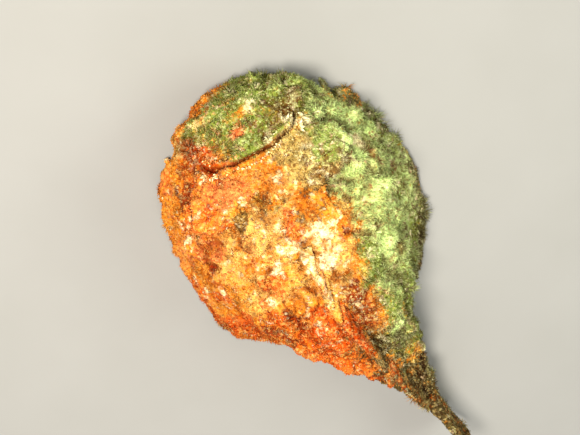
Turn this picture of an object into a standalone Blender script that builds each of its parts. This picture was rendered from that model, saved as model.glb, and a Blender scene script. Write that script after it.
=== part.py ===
"""Reef stonefish, life size, a still model that rests on its belly.

The snout points towards -Y, the fish's left side is at +X and the floor is Z 0.
The body is made straight, in millimetres along Y, parted and trimmed, and only then bent
to the right towards the tail and turned into metres.
"""

import math
import random

import bmesh
import bpy
import numpy as np

MM = 0.001

# Driving sizes, in millimetres and degrees
BODY_LENGTH = 245.0  # front of the chin to the root of the tail fin
HEAD_END = 84.0  # the gill opening, where the head is parted from the trunk
TRUNK_END = 176.0  # where the trunk is parted from the tail
TAIL_FIN_LENGTH = 54.0
BEND_START, BEND_END, BEND_ANGLE = 70.0, 200.0, 10.0  # the tail curves to the right
GAP = 0.35  # air between nodes that touch
FLOOR_CLEAR = 0.5  # air under the fins that hang close to the floor

# Body lengthwise: share of the way along the skin, y, half width, top, bottom,
# height of the widest place, and squareness of the section, where 2 is an ellipse
STATIONS = np.array(
    [
        (0.00, -4.0, 0.0, 32.0, 32.0, 32.0, 2.2),
        (0.05, -2.6, 14.0, 43.0, 21.0, 32.0, 2.2),
        (0.10, 1.8, 26.5, 53.5, 11.0, 32.5, 2.25),
        (0.15, 9.3, 36.5, 62.5, 4.2, 33.0, 2.3),
        (0.20, 19.0, 44.0, 70.0, 0.4, 33.0, 2.35),
        (0.26, 33.0, 50.0, 77.5, -1.2, 33.0, 2.4),
        (0.33, 50.0, 54.5, 82.5, -1.6, 32.5, 2.4),
        (0.41, 69.0, 57.0, 85.0, -1.6, 32.0, 2.35),
        (0.49, 90.0, 56.0, 89.0, -1.6, 31.0, 2.2),
        (0.57, 113.0, 51.5, 90.0, -1.6, 30.0, 2.1),
        (0.66, 140.0, 43.0, 84.0, -1.4, 30.0, 2.1),
        (0.75, 168.0, 32.0, 71.0, 0.5, 30.0, 2.1),
        (0.84, 196.0, 21.5, 57.0, 8.0, 30.0, 2.1),
        (0.92, 221.0, 13.0, 46.5, 13.5, 29.5, 2.1),
        (1.00, BODY_LENGTH, 8.0, 42.0, 15.5, 29.0, 2.1),
    ]
)
FACE_SHARE = 0.20  # the rounded face, whose skin is a grid and not rings

# Lumps and hollows: share of the way, degrees from the top, radius, height
EYE_SHARE, EYE_TURN = 0.278, 38.0
RELIEF = [
    (EYE_SHARE, EYE_TURN, 11.5, 11.5),  # bony mound that carries the eye
    (0.245, 66.0, 9.5, -7.5),  # pit below and before the eye
    (0.312, 0.0, 14.0, -7.5),  # saddle between and behind the eyes
    (0.338, 37.0, 9.0, -8.0),  # pit behind the eye
    (0.218, 14.0, 6.0, 2.8),  # knob beside the end of the snout
    (0.365, 16.0, 8.5, 7.5),  # knob on the back of the skull
    (0.465, 16.0, 9.5, 6.0),  # shoulder knob
    (0.30, 86.0, 12.0, 4.5),  # cheek
    (0.36, 66.0, 8.0, 6.0),  # knobs on the edge of the cheek
    (0.36, 98.0, 8.0, 4.0),
    (0.43, 56.0, 9.5, 5.0),  # bony ridge over the gills
    (0.51, 42.0, 9.0, 5.5),  # large warts of the flank
    (0.555, 21.0, 8.5, 5.0),
    (0.585, 57.0, 9.0, 5.5),
    (0.635, 30.0, 8.5, 5.5),
    (0.68, 62.0, 8.0, 5.0),
    (0.73, 34.0, 7.5, 4.5),
    (0.80, 48.0, 7.0, 3.0),
    (0.86, 66.0, 6.0, 2.5),
]

# Mouth: a flat arch across the top of the blunt face, with the lower jaw before it.
# Share and degrees are places on the skin; the drop is how far the corners lie forward.
MOUTH_SHARE, MOUTH_TURN, MOUTH_DROP = 0.205, 38.0, 0.020
# Half width of the lower jaw at heights below the corner, down through the throat
JAW_SIDES = [(27.5, 52.0), (27.0, 38.0), (24.5, 22.0), (21.5, 6.0), (19.0, -12.0)]
JAW_DEPTH = 40.0  # how far back the lower jaw reaches, at the throat
LIP_RADIUS, LIP_APART = 2.7, 2.6

EYE_RADIUS, EYE_SINK = 5.0, 2.4

# Small forms of the skin
WART_COUNT, WART_SPACING, WART_RADIUS, WART_HEIGHT = 40, 15.5, 4.0, 2.7
UPPER_CIRRI, LOWER_CIRRI, CIRRUS_LENGTH, CIRRUS_RADIUS = 15, 10, 4.2, 1.2
NOSTRIL_SHARE, NOSTRIL_TURN, NOSTRIL_RADIUS, NOSTRIL_HEIGHT = 0.236, 15.0, 2.0, 3.4

# How finely the coarse body is drawn
AROUND, ALONG = 48, 25


def smooth(keys, values, at):
    """A smooth curve through the keys, read at the given places."""
    slopes = np.gradient(values, keys)
    at = np.clip(at, keys[0], keys[-1])
    i = np.clip(np.searchsorted(keys, at, side="right") - 1, 0, len(keys) - 2)
    width = keys[i + 1] - keys[i]
    t = (at - keys[i]) / width
    return (
        (2 * t**3 - 3 * t**2 + 1) * values[i]
        + (t**3 - 2 * t**2 + t) * width * slopes[i]
        + (3 * t**2 - 2 * t**3) * values[i + 1]
        + (t**3 - t**2) * width * slopes[i + 1]
    )


def unit(vectors):
    return vectors / np.maximum(np.linalg.norm(vectors, axis=-1, keepdims=True), 1e-9)


def loft(share, turn):
    """The plain body without relief. turn is the angle from the top of the back, left side positive."""
    y, wide, top, bottom, middle, square = (
        smooth(STATIONS[:, 0], STATIONS[:, k], share) for k in range(1, 7)
    )
    sine, cosine = np.sin(turn), np.cos(turn)
    side = np.sign(sine) * np.abs(sine) ** (2 / square)
    rise = np.sign(cosine) * np.abs(cosine) ** (2 / square)
    height = np.where(cosine >= 0, top - middle, middle - bottom)
    return np.stack([wide * side, y, middle + height * rise], axis=-1)


def with_normals(surface, share, turn):
    """Points of a surface of (share, turn) and its outward normals."""
    share = np.clip(np.asarray(share, float), 2e-3, 1 - 2e-3)
    turn = np.asarray(turn, float)
    small, little = 1.5e-3, 0.02
    lengthwise = surface(share + small, turn) - surface(share - small, turn)
    across = surface(share, turn + little) - surface(share, turn - little)
    return surface(share, turn), unit(np.cross(across, lengthwise))


def relief(points):
    """How far the lumps stand out, and the hollows sink in, at points of the plain body."""
    amount = np.zeros(points.shape[:-1])
    for share, degrees, radius, height in RELIEF:
        for side in (1, -1) if degrees else (1,):
            centre = loft(np.array(share), np.array(math.radians(degrees) * side))
            away = ((points - centre) ** 2).sum(axis=-1)
            amount = amount + height * np.exp(-away / radius**2)
    return amount


def skin(share, turn):
    """The body with its lumps and hollows."""
    points, normals = with_normals(loft, share, turn)
    return points + normals * relief(points)[..., None]


def bent(points):
    """Straight millimetres to the fish's own curve, whose tail turns to the right."""
    way = np.linspace(0, 320, 641)
    t = np.clip((way - BEND_START) / (BEND_END - BEND_START), 0, 1)
    heading = math.radians(BEND_ANGLE) * t * t * (3 - 2 * t)
    step = way[1] - way[0]
    middle = (heading[1:] + heading[:-1]) / 2
    right = -np.concatenate([[0], np.cumsum(np.sin(middle) * step)])
    back = np.concatenate([[0], np.cumsum(np.cos(middle) * step)])
    x, y = points[:, 0], points[:, 1]
    behind = np.maximum(y, 0)
    turned = np.interp(behind, way, heading)
    return np.stack(
        [
            np.interp(behind, way, right) + x * np.cos(turned),
            np.interp(behind, way, back) + x * np.sin(turned) + np.minimum(y, 0),
            points[:, 2],
        ],
        axis=-1,
    )


def add_object(name, points, faces):
    """A mesh object of points in straight millimetres."""
    mesh = bpy.data.meshes.new(name)
    mesh.from_pydata((np.asarray(points, float) * MM).tolist(), [], [list(map(int, f)) for f in faces])
    mesh.update()
    made = bpy.data.objects.new(name, mesh)
    bpy.context.scene.collection.objects.link(made)
    return made


def face_outward(made):
    """Turns a closed mesh's faces outwards and splits them into triangles."""
    work = bmesh.new()
    work.from_mesh(made.data)
    bmesh.ops.triangulate(work, faces=work.faces)
    bmesh.ops.recalc_face_normals(work, faces=work.faces)
    if work.calc_volume(signed=True) < 0:
        bmesh.ops.reverse_faces(work, faces=work.faces)
    work.to_mesh(made.data)
    work.free()
    return made


def keep_largest(made):
    """Leaves only the mesh's largest closed surface."""
    work = bmesh.new()
    work.from_mesh(made.data)
    left, shells = set(work.verts), []
    while left:
        shell, edge = set(), [left.pop()]
        while edge:
            vert = edge.pop()
            shell.add(vert)
            for link in vert.link_edges:
                other = link.other_vert(vert)
                if other in left:
                    left.remove(other)
                    edge.append(other)
        shells.append(shell)
    shells.sort(key=len)
    loose = [vert for shell in shells[:-1] for vert in shell]
    bmesh.ops.delete(work, geom=loose, context="VERTS")
    work.to_mesh(made.data)
    work.free()
    return made


def applied(made):
    """Turns an object's modifiers into plain mesh."""
    graph = bpy.context.evaluated_depsgraph_get()
    mesh = bpy.data.meshes.new_from_object(made.evaluated_get(graph))
    made.modifiers.clear()
    made.data = mesh
    return keep_largest(made)


def cut(made, operation, tool, solver="EXACT"):
    """One Boolean between two objects."""
    step = made.modifiers.new(operation.lower(), "BOOLEAN")
    step.operation = operation
    step.object = tool
    step.solver = solver
    return applied(made)


def union(made, pieces, solver="EXACT"):
    """Joins loose closed pieces into one object in a single Boolean."""
    if not pieces:
        return made
    group = bpy.data.collections.new("pieces")
    bpy.context.scene.collection.children.link(group)
    for piece in pieces:
        bpy.context.scene.collection.objects.unlink(piece)
        group.objects.link(piece)
    step = made.modifiers.new("union", "BOOLEAN")
    step.operation = "UNION"
    step.operand_type = "COLLECTION"
    step.collection = group
    step.solver = solver
    applied(made)
    for piece in pieces:
        bpy.data.objects.remove(piece)
    bpy.data.collections.remove(group)
    return made


def copy_of(made, name):
    twin = made.copy()
    twin.data = made.data.copy()
    twin.name = name
    bpy.context.scene.collection.objects.link(twin)
    return twin


def sliced(made, place, normal):
    """Cuts a closed mesh with a plane and fills the cut; what lies ahead of the normal goes."""
    work = bmesh.new()
    work.from_mesh(made.data)
    everything = work.verts[:] + work.edges[:] + work.faces[:]
    result = bmesh.ops.bisect_plane(
        work,
        geom=everything,
        plane_co=[c * MM for c in place],
        plane_no=normal,
        clear_outer=True,
        dist=1e-7,
    )
    rim = [e for e in result["geom_cut"] if isinstance(e, bmesh.types.BMEdge)]
    bmesh.ops.holes_fill(work, edges=rim, sides=0)
    bmesh.ops.triangulate(work, faces=work.faces)
    work.to_mesh(made.data)
    work.free()
    return keep_largest(made)


def face_grid(count):
    """Places on a square grid wrapped on the face: (reach from the middle, turn)."""
    places = []
    for row in range(count + 1):
        for column in range(count + 1):
            p, q = 2 * column / count - 1, 2 * row / count - 1
            reach = max(abs(p), abs(q))
            if reach == 0:
                places.append((0.0, 0.0))
                continue
            p, q = p / reach, q / reach
            if q >= 1 - 1e-9:
                way = p / 2 + 0.5  # the top side, right to left
            elif p >= 1 - 1e-9:
                way = 1.5 - q / 2
            elif q <= -1 + 1e-9:
                way = 2.5 - p / 2
            else:
                way = 3.5 + q / 2
            places.append((reach, (way - 0.5) * math.pi / 2))
    return places


def body_surface(around, along, surface):
    """Points and faces of the whole body: rings from the face to the tail, and a grid on the face."""
    turns = [(k / around * 4 - 0.5) * math.pi / 2 for k in range(around)]
    shares = np.linspace(FACE_SHARE, 1, along + 1)
    ring_share = np.repeat(shares, around)
    ring_turn = np.tile(turns, along + 1)
    count = around // 4
    face = face_grid(count)
    inner, index = [], {}
    for number, (reach, turn) in enumerate(face):
        if reach > 1 - 1e-9:
            index[number] = round((turn / (math.pi / 2) + 0.5) * around / 4) % around
        else:
            index[number] = (along + 1) * around + len(inner)
            inner.append((reach * FACE_SHARE, turn))
    share = np.concatenate([ring_share, [s for s, _ in inner]])
    turn = np.concatenate([ring_turn, [t for _, t in inner]])
    faces = []
    for i in range(along):
        for j in range(around):
            k = (j + 1) % around
            faces.append((i * around + j, i * around + k, (i + 1) * around + k, (i + 1) * around + j))
    for row in range(count):
        for column in range(count):
            a = row * (count + 1) + column
            faces.append(tuple(index[n] for n in (a, a + 1, a + count + 2, a + count + 1)))
    faces.append(tuple(along * around + j for j in range(around)))
    return surface(share, turn), faces


def inflated(made, name, by):
    """A copy of a mesh whose skin is moved outwards."""
    twin = copy_of(made, name)
    mesh = twin.data
    count = len(mesh.vertices)
    points, normals = np.empty(count * 3, np.float32), np.empty(count * 3, np.float32)
    mesh.vertices.foreach_get("co", points)
    mesh.vertex_normals.foreach_get("vector", normals)
    mesh.vertices.foreach_set("co", points + normals * by * MM)
    mesh.update()
    return twin


def blade(name, middle, half):
    """A closed thin solid about a grid of middle points, with half its thickness at each."""
    rows, columns = middle.shape[:2]
    down = np.gradient(middle, axis=0)
    across = np.gradient(middle, axis=1)
    normal = unit(np.cross(down, across))
    upper, lower = middle + normal * half[..., None], middle - normal * half[..., None]
    points = np.concatenate([upper.reshape(-1, 3), lower.reshape(-1, 3)])
    under = rows * columns
    faces = []
    for r in range(rows - 1):
        for c in range(columns - 1):
            a, b = r * columns + c, r * columns + c + 1
            d, e = a + columns, b + columns
            # both skins are split along the same diagonal, or a curved blade crosses itself
            faces += [(a, b, e), (a, e, d)]
            faces += [(under + a, under + e, under + b), (under + a, under + d, under + e)]
    rim = [c for c in range(columns)]
    rim += [r * columns + columns - 1 for r in range(1, rows)]
    rim += [(rows - 1) * columns + c for c in range(columns - 2, -1, -1)]
    rim += [r * columns for r in range(rows - 2, 0, -1)]
    for a, b in zip(rim, rim[1:] + rim[:1]):
        faces += [(a, under + a, under + b), (a, under + b, b)]
    return face_outward(add_object(name, points, faces))


def ray_wave(count, per_ray):
    """Places across a fin from 0 to 1, and 1 on each ray, falling to 0 between rays."""
    places = np.linspace(0, 1, (count - 1) * per_ray + 1)
    wave = 0.5 + 0.5 * np.cos(2 * math.pi * places * (count - 1))
    return places, wave


def through(points, places):
    """A smooth line through named points, read at places from 0 to 1."""
    points = np.asarray(points, float)
    keys = np.linspace(0, 1, len(points))
    return np.stack([smooth(keys, points[:, k], places) for k in range(3)], axis=-1)


PECTORAL_RAYS = 18
# Where the pectoral fin grows: share and turn of its upper end and its throat end
PECTORAL_ROOT = [(0.505, 80.0), (0.46, 97.0), (0.40, 110.0), (0.34, 119.0), (0.28, 126.0)]
# The fin's edge, from the tip that lies back along the flank to the one under the cheek
PECTORAL_EDGE = [
    (39, 178, 19),
    (54, 169, 9),
    (67, 142, 4.5),
    (75, 106, 3.4),
    (74, 70, 3.2),
    (66, 44, 3.0),
    (50, 24, 3.0),
]
PECTORAL_FLARE = {1: 10.0, -1: 3.0}  # how far the hind corner is spread from the flank, left and right
HIND_CORNER, CORNER_WIDTH = 0.36, 0.13  # the corner's place and reach along the edge


def pectoral_fin(name, side):
    """The broad fan that lies round the flank like a skirt, with its edge on the floor."""
    across, wave = ray_wave(PECTORAL_RAYS, 2)
    roots = np.array(PECTORAL_ROOT)
    keys = np.linspace(0, 1, len(roots))
    share = smooth(keys, roots[:, 0], across)
    turn = np.radians(smooth(keys, roots[:, 1], across))
    root, outward = with_normals(skin, share, turn)
    root = root - outward * 3.5
    corner = PECTORAL_FLARE[side] * np.exp(-(((across - HIND_CORNER) / CORNER_WIDTH) ** 2))
    edge = through(PECTORAL_EDGE, across) + corner[:, None] * np.array([1.0, 0.3, 0.0])
    reach = unit(edge - root)
    edge = edge + reach * (wave[:, None] - 1) * 2.4
    arched = np.clip(0.3 + 2.5 * across, 0, 1)[:, None]  # the upper rays lie closer to the flank
    crown = (root + edge) / 2 + (outward * 7.0 + np.array([0, 0, 8.0])) * arched
    t = np.linspace(0, 1, 8)[:, None, None]
    middle = (1 - t) ** 2 * root + 2 * t * (1 - t) * crown + t**2 * edge
    t = t[..., 0]
    half = (2.9 * (1 - t) + 0.9 * t) * (0.78 + 0.3 * wave * (0.4 + 0.6 * t))
    middle[..., 2] = np.maximum(middle[..., 2], half + FLOOR_CLEAR)
    middle[..., 0] *= side
    return blade(name, middle, half)


PELVIC_RAYS = 6


def pelvic_fin(name, side):
    """The short fan under the belly's side, flat above the floor."""
    across, wave = ray_wave(PELVIC_RAYS, 3)
    root = through([(27, 96, 6.5), (22, 84, 5.5), (19, 70, 5.0)], across)
    edge = through([(33, 128, 2.4), (45, 118, 2.2), (50, 96, 2.2), (45, 74, 2.2)], across)
    edge = edge + unit(edge - root) * (wave[:, None] - 1) * 2.5
    t = np.linspace(0, 1, 6)[:, None, None]
    middle = root * (1 - t) + edge * t
    t = t[..., 0]
    half = (2.2 * (1 - t) + 0.8 * t) * (0.75 + 0.3 * wave)
    middle[..., 2] = np.maximum(middle[..., 2], half + FLOOR_CLEAR)
    middle[..., 0] *= side
    return blade(name, middle, half)


SPINES, SOFT_RAYS = 13, 6
SPINY_START, SPINY_END, SOFT_END = 80.0, 186.0, 229.0


def back_line(y):
    """Share of the way along the skin where the body is at this y."""
    shares = np.linspace(FACE_SHARE, 1, 400)
    return np.interp(y, smooth(STATIONS[:, 0], STATIONS[:, 1], shares), shares)


def dorsal_spines(name):
    """The spiny fin: thick warty sheaths that lean back, joined by low skin."""
    across, wave = ray_wave(SPINES, 4)
    y = SPINY_START + (SPINY_END - SPINY_START) * across
    root = skin(back_line(y), np.zeros_like(y))
    tall = (9.0 + 5.0 * np.sin(math.pi * np.minimum(across * 1.1 + 0.1, 1))) * (0.45 + 0.55 * wave**1.5)
    lean = np.array([0, math.sin(math.radians(50)), math.cos(math.radians(50))])
    sway = 0.8 + 2.0 * np.sin(across * 8.0) + np.sin(across * 37.0)
    t = np.linspace(0, 1, 6)[:, None]
    middle = root[None] + (t * tall - 6.0 * (1 - t))[..., None] * lean
    middle[..., 0] += t * sway
    half = (3.4 * (1 - t) + 1.7 * t) * (0.55 + 0.6 * wave) * np.sqrt(1 - 0.75 * t**4)
    return blade(name, middle, half)


def dorsal_rays(name):
    """The soft fin behind the spines, lying back over the tail."""
    across, wave = ray_wave(SOFT_RAYS, 4)
    y = SPINY_END + 3 + (SOFT_END - SPINY_END - 3) * across
    root = skin(back_line(y), np.zeros_like(y))
    tall = (19.0 - 5.0 * across) * (0.82 + 0.18 * wave)
    lean = np.array([0, math.sin(math.radians(48)), math.cos(math.radians(48))])
    t = np.linspace(0, 1, 6)[:, None]
    middle = root[None] + (t * tall - 5.0 * (1 - t))[..., None] * lean
    middle[..., 0] += t * 3.0
    half = (2.4 * (1 - t) + 0.9 * t) * (0.7 + 0.35 * wave)
    return blade(name, middle, half)


ANAL_RAYS, ANAL_START, ANAL_END = 8, 181.0, 226.0


def anal_fin(name):
    """The low fin under the tail, folded back above the floor."""
    across, wave = ray_wave(ANAL_RAYS, 3)
    y = ANAL_START + (ANAL_END - ANAL_START) * across
    root = skin(back_line(y), np.full_like(y, math.pi))
    tip_height = 2.2 + 2.0 * across
    tall = np.maximum(root[:, 2] - tip_height, 2.5) * (0.85 + 0.15 * wave)
    lean = np.array([0.0, 0.9, -1.0])
    t = np.linspace(0, 1, 5)[:, None]
    middle = root[None] + (t * tall - 4.0 * (1 - t))[..., None] * lean
    half = (2.0 * (1 - t) + 0.8 * t) * (0.72 + 0.32 * wave)
    return blade(name, middle, half)


CAUDAL_RAYS = 12


def caudal_fin(name):
    """The rounded tail fin, a little folded, its lower edge just above the floor."""
    across, wave = ray_wave(CAUDAL_RAYS, 2)
    spread = np.radians(25.0 - 50.0 * across)
    root_z = 40.5 - 24.0 * across
    reach = TAIL_FIN_LENGTH * (0.86 + 0.14 * np.sin(math.pi * across)) * (0.955 + 0.045 * wave)
    t = np.linspace(0, 1, 8)[:, None]
    along = BODY_LENGTH - 5.0 + t * (reach * np.cos(spread) + 5.0)
    rise = root_z + t * reach * np.sin(spread)
    half = (3.6 * (1 - t) ** 1.5 + 0.85) * (0.72 + 0.32 * wave)
    sway = 2.2 * np.sin(across * 9.0) * t
    middle = np.stack([sway + 0 * along, along, np.maximum(rise, FLOOR_CLEAR + 1.0)], axis=-1)
    return blade(name, middle, half)


COVER_EDGE = 11
COVER_SHARE, COVER_TURN, COVER_LONG, COVER_TALL = 0.38, 82.0, 0.052, 23.0


def gill_cover(name, side):
    """The plate over the gills, with a rounded hind edge, raised on the side of the head."""
    ring = np.linspace(0, 2 * math.pi, COVER_EDGE * 2, endpoint=False)
    rows = [(0.0, 2.4), (0.35, 2.8), (0.7, 2.6), (0.9, 1.9), (1.0, 0.6)]
    points = []
    for reach, lift in rows:
        share = COVER_SHARE + COVER_LONG * reach * np.cos(ring)
        turn = np.radians(COVER_TURN + COVER_TALL * reach * np.sin(ring))
        place, outward = with_normals(skin, share, turn)
        ridge = 0.5 * np.cos(ring * 7) * reach * (1 - reach) * 4
        points.append(place + outward * (lift + ridge)[..., None])
    outer = len(ring)
    under_share = COVER_SHARE + COVER_LONG * np.cos(ring)
    under_turn = np.radians(COVER_TURN + COVER_TALL * np.sin(ring))
    place, outward = with_normals(skin, under_share, under_turn)
    points.append(place - outward * 2.0)
    points[0] = points[0][:1]
    faces = []
    for k in range(outer):
        n = (k + 1) % outer
        faces.append((0, 1 + k, 1 + n))
        for row in range(len(rows) - 1):
            a = 1 + row * outer
            faces.append((a + k, a + outer + k, a + outer + n, a + n))
    last = 1 + (len(rows) - 1) * outer
    faces.append(tuple(last + k for k in range(outer)))
    points = np.concatenate(points)
    points[:, 0] *= side
    return face_outward(add_object(name, points, faces))


def mouth_place(way):
    """Share and turn on the mouth's line, for a way from -1 at the right corner to 1 at the left."""
    return MOUTH_SHARE - MOUTH_DROP * np.abs(way) ** 4, np.radians(MOUTH_TURN) * way


def jaw_tool(name, grow):
    """The block that parts the lower jaw from the face: the mouth's arch, down to the throat."""
    arch = skin(*mouth_place(np.linspace(-1, 1, 17)))
    left = np.array(JAW_SIDES)
    right = left[::-1] * np.array([-1, 1])
    ring = np.concatenate([right, arch[:, [0, 2]], left])
    middle = np.array([0.0, 30.0])
    ring = ring + unit(ring - middle) * grow
    count = len(ring)
    front = np.stack([ring[:, 0], np.full(count, -30.0), ring[:, 1]], axis=-1)
    back = np.stack([ring[:, 0], np.full(count, JAW_DEPTH + grow), ring[:, 1]], axis=-1)
    faces = [tuple(range(count)), tuple(range(2 * count - 1, count - 1, -1))]
    for k in range(count):
        n = (k + 1) % count
        faces.append((k, n, count + n, count + k))
    return face_outward(add_object(name, np.concatenate([front, back]), faces))


def tube(name, line, radius, sides=6):
    """A closed tube along a line, thin at both ends."""
    line = np.asarray(line, float)
    heading = unit(np.gradient(line, axis=0))
    first = unit(np.cross(heading, np.array([0.0, 0.0, 1.0]) + 1e-3))
    second = np.cross(heading, first)
    ends = np.sin(np.linspace(0.25, math.pi - 0.25, len(line))) ** 0.4
    points = []
    for k in range(sides):
        angle = 2 * math.pi * k / sides
        points.append(line + (first * math.cos(angle) + second * math.sin(angle)) * (radius * ends)[:, None])
    points = np.stack(points, axis=1).reshape(-1, 3)
    faces = []
    for i in range(len(line) - 1):
        for k in range(sides):
            n = (k + 1) % sides
            faces.append((i * sides + k, i * sides + n, (i + 1) * sides + n, (i + 1) * sides + k))
    faces.append(tuple(range(sides)))
    faces.append(tuple((len(line) - 1) * sides + k for k in range(sides)))
    return face_outward(add_object(name, points, faces))


def lips():
    """Two fleshy rims, one on each side of the mouth's line."""
    made = []
    way = np.linspace(-1.06, 1.06, 19)
    place, outward = with_normals(skin, *mouth_place(way))
    behind = unit(np.cross(np.gradient(place, axis=0), outward))
    behind *= np.sign(behind[:, 1:2] + behind[:, 2:3])
    for name, offset in (("upper_lip", LIP_APART), ("lower_lip", -LIP_APART)):
        made.append(tube(name, place + behind * offset + outward * 0.4, LIP_RADIUS))
    return made


def stacked(name, place, outward, rings, sides, spin=0.0, lean=(0.0, 0.0, 0.0)):
    """A closed form of rings set on the skin: (radius, height) from its foot up, where radius 0 is a point."""
    outward = unit(outward + np.asarray(lean, float))
    first = unit(np.cross(outward, np.array([0.3, 0.2, 1.0])))
    second = np.cross(outward, first)
    points, starts = [], []
    for radius, height in rings:
        starts.append((len(points), radius > 0))
        for k in range(sides if radius > 0 else 1):
            angle = spin + 2 * math.pi * k / sides
            spoke = first * math.cos(angle) + second * math.sin(angle)
            points.append(place + outward * height + spoke * radius)
    faces = [tuple(range(sides))]
    for (a, _), (b, wide) in zip(starts, starts[1:]):
        for k in range(sides):
            n = (k + 1) % sides
            faces.append((a + k, a + n, b + n, b + k) if wide else (a + k, a + n, b))
    if starts[-1][1]:
        faces.append(tuple(starts[-1][0] + k for k in range(sides)))
    return face_outward(add_object(name, points, faces))


def warts():
    """Low domes scattered over the head, the flanks and the tail, each of its own size."""
    draw = random.Random(7)
    kept, made = [], []
    keep_clear = [skin(np.array(EYE_SHARE), np.array(math.radians(EYE_TURN) * side)) for side in (1, -1)]
    while len(made) < WART_COUNT:
        share, degrees = draw.uniform(0.23, 0.93), draw.uniform(15, 94) * draw.choice((1, -1))
        beside_fin = PECTORAL_ROOT[-1][0] - 0.03 < share < PECTORAL_ROOT[0][0] + 0.25
        if beside_fin and abs(degrees) > (54 if abs(share - COVER_SHARE) < 0.08 else 68):
            continue
        place, outward = with_normals(skin, np.array(share), np.array(math.radians(degrees)))
        size = draw.uniform(0.75, 1.25) * (1.15 - 0.5 * share)
        crowded = [np.linalg.norm(place - other) < WART_SPACING * size for other in kept + keep_clear]
        if any(crowded):
            continue
        kept.append(place)
        radius, height = WART_RADIUS * size, WART_HEIGHT * size
        rings = [(radius * 1.15, -1.6), (radius * 0.8, height * 0.62), (0.0, height)]
        made.append(stacked("wart", place, outward, rings, 6, spin=draw.uniform(0, 1)))
    return made


def lip_fringe():
    """Fleshy points along both lips, longest at the middle."""
    draw = random.Random(11)
    made = []
    for count, offset, scale in ((UPPER_CIRRI, LIP_APART + 1.2, 1.0), (LOWER_CIRRI, -LIP_APART - 1.2, 0.7)):
        way = np.linspace(-0.98, 0.98, count)
        place, outward = with_normals(skin, *mouth_place(way))
        behind = unit(np.cross(np.gradient(place, axis=0), outward))
        behind *= np.sign(behind[:, 1:2] + behind[:, 2:3])
        for k in range(count):
            length = CIRRUS_LENGTH * scale * draw.uniform(0.75, 1.25) * (1 - 0.35 * abs(way[k]))
            radius = CIRRUS_RADIUS * (0.6 + 0.4 * scale)
            lean = behind[k] * np.sign(offset) * draw.uniform(0.5, 1.1)
            rings = [(radius * 1.2, 0.4), (radius, LIP_RADIUS + length * 0.35), (0.0, LIP_RADIUS + length)]
            root = place[k] + behind[k] * offset
            made.append(stacked("cirrus", root, outward[k], rings, 4, draw.uniform(0, 1), lean))
    return made


def nostrils():
    """A short open tube on each side of the snout."""
    made = []
    for side in (1, -1):
        turn = np.array(math.radians(NOSTRIL_TURN) * side)
        place, outward = with_normals(skin, np.array(NOSTRIL_SHARE), turn)
        rim, bore = NOSTRIL_RADIUS * 0.85, NOSTRIL_RADIUS * 0.5
        rings = [(NOSTRIL_RADIUS * 1.3, -1.8), (rim, NOSTRIL_HEIGHT), (bore, NOSTRIL_HEIGHT), (bore * 0.7, 0.6)]
        made.append(stacked("nostril", place, outward, rings, 8))
    return made


def ball(name, centre, radius, rings=9, sides=12):
    """A round ball."""
    mesh = bpy.data.meshes.new(name)
    work = bmesh.new()
    bmesh.ops.create_uvsphere(work, u_segments=sides, v_segments=rings, radius=radius * MM)
    bmesh.ops.translate(work, verts=work.verts, vec=[c * MM for c in centre])
    bmesh.ops.triangulate(work, faces=work.faces)
    work.to_mesh(mesh)
    work.free()
    made = bpy.data.objects.new(name, mesh)
    bpy.context.scene.collection.objects.link(made)
    return made


def eye_place(side):
    """The middle of an eyeball, on the outer face of its mound."""
    share, turn = EYE_SHARE - 0.006, math.radians(EYE_TURN + 9)
    place, outward = with_normals(skin, np.array(share), np.array(turn))
    centre = place - outward * EYE_SINK
    return centre * np.array([side, 1, 1]), outward * np.array([side, 1, 1])


def eyelid(name, side):
    """A rim of skin round the eye."""
    centre, outward = eye_place(side)
    first = unit(np.cross(outward, np.array([0.0, 0.0, 1.0])))
    second = np.cross(outward, first)
    sides, ring = 6, 12
    points, faces = [], []
    for i in range(ring):
        angle = 2 * math.pi * i / ring
        spoke = first * math.cos(angle) + second * math.sin(angle)
        for k in range(sides):
            turn = 2 * math.pi * k / sides
            reach = EYE_RADIUS * 0.94 + 1.5 * math.cos(turn)
            points.append(centre + spoke * reach + outward * (1.9 + 1.7 * math.sin(turn)))
            n, m = (i + 1) % ring, (k + 1) % sides
            faces.append((i * sides + k, i * sides + m, n * sides + m, n * sides + k))
    return face_outward(add_object(name, points, faces))


def painted(made, name, colour, roughness):
    """Gives a node its own material."""
    material = bpy.data.materials.new(name)
    material.use_nodes = True
    shader = material.node_tree.nodes["Principled BSDF"]
    shader.inputs["Base Color"].default_value = (*colour, 1.0)
    shader.inputs["Roughness"].default_value = roughness
    shader.inputs["Metallic"].default_value = 0.0
    made.data.materials.clear()
    made.data.materials.append(material)


ORANGE, RUST, OLIVE = (0.72, 0.20, 0.03), (0.50, 0.12, 0.03), (0.26, 0.27, 0.08)
EYE_COLOUR = (0.05, 0.035, 0.02)


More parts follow.
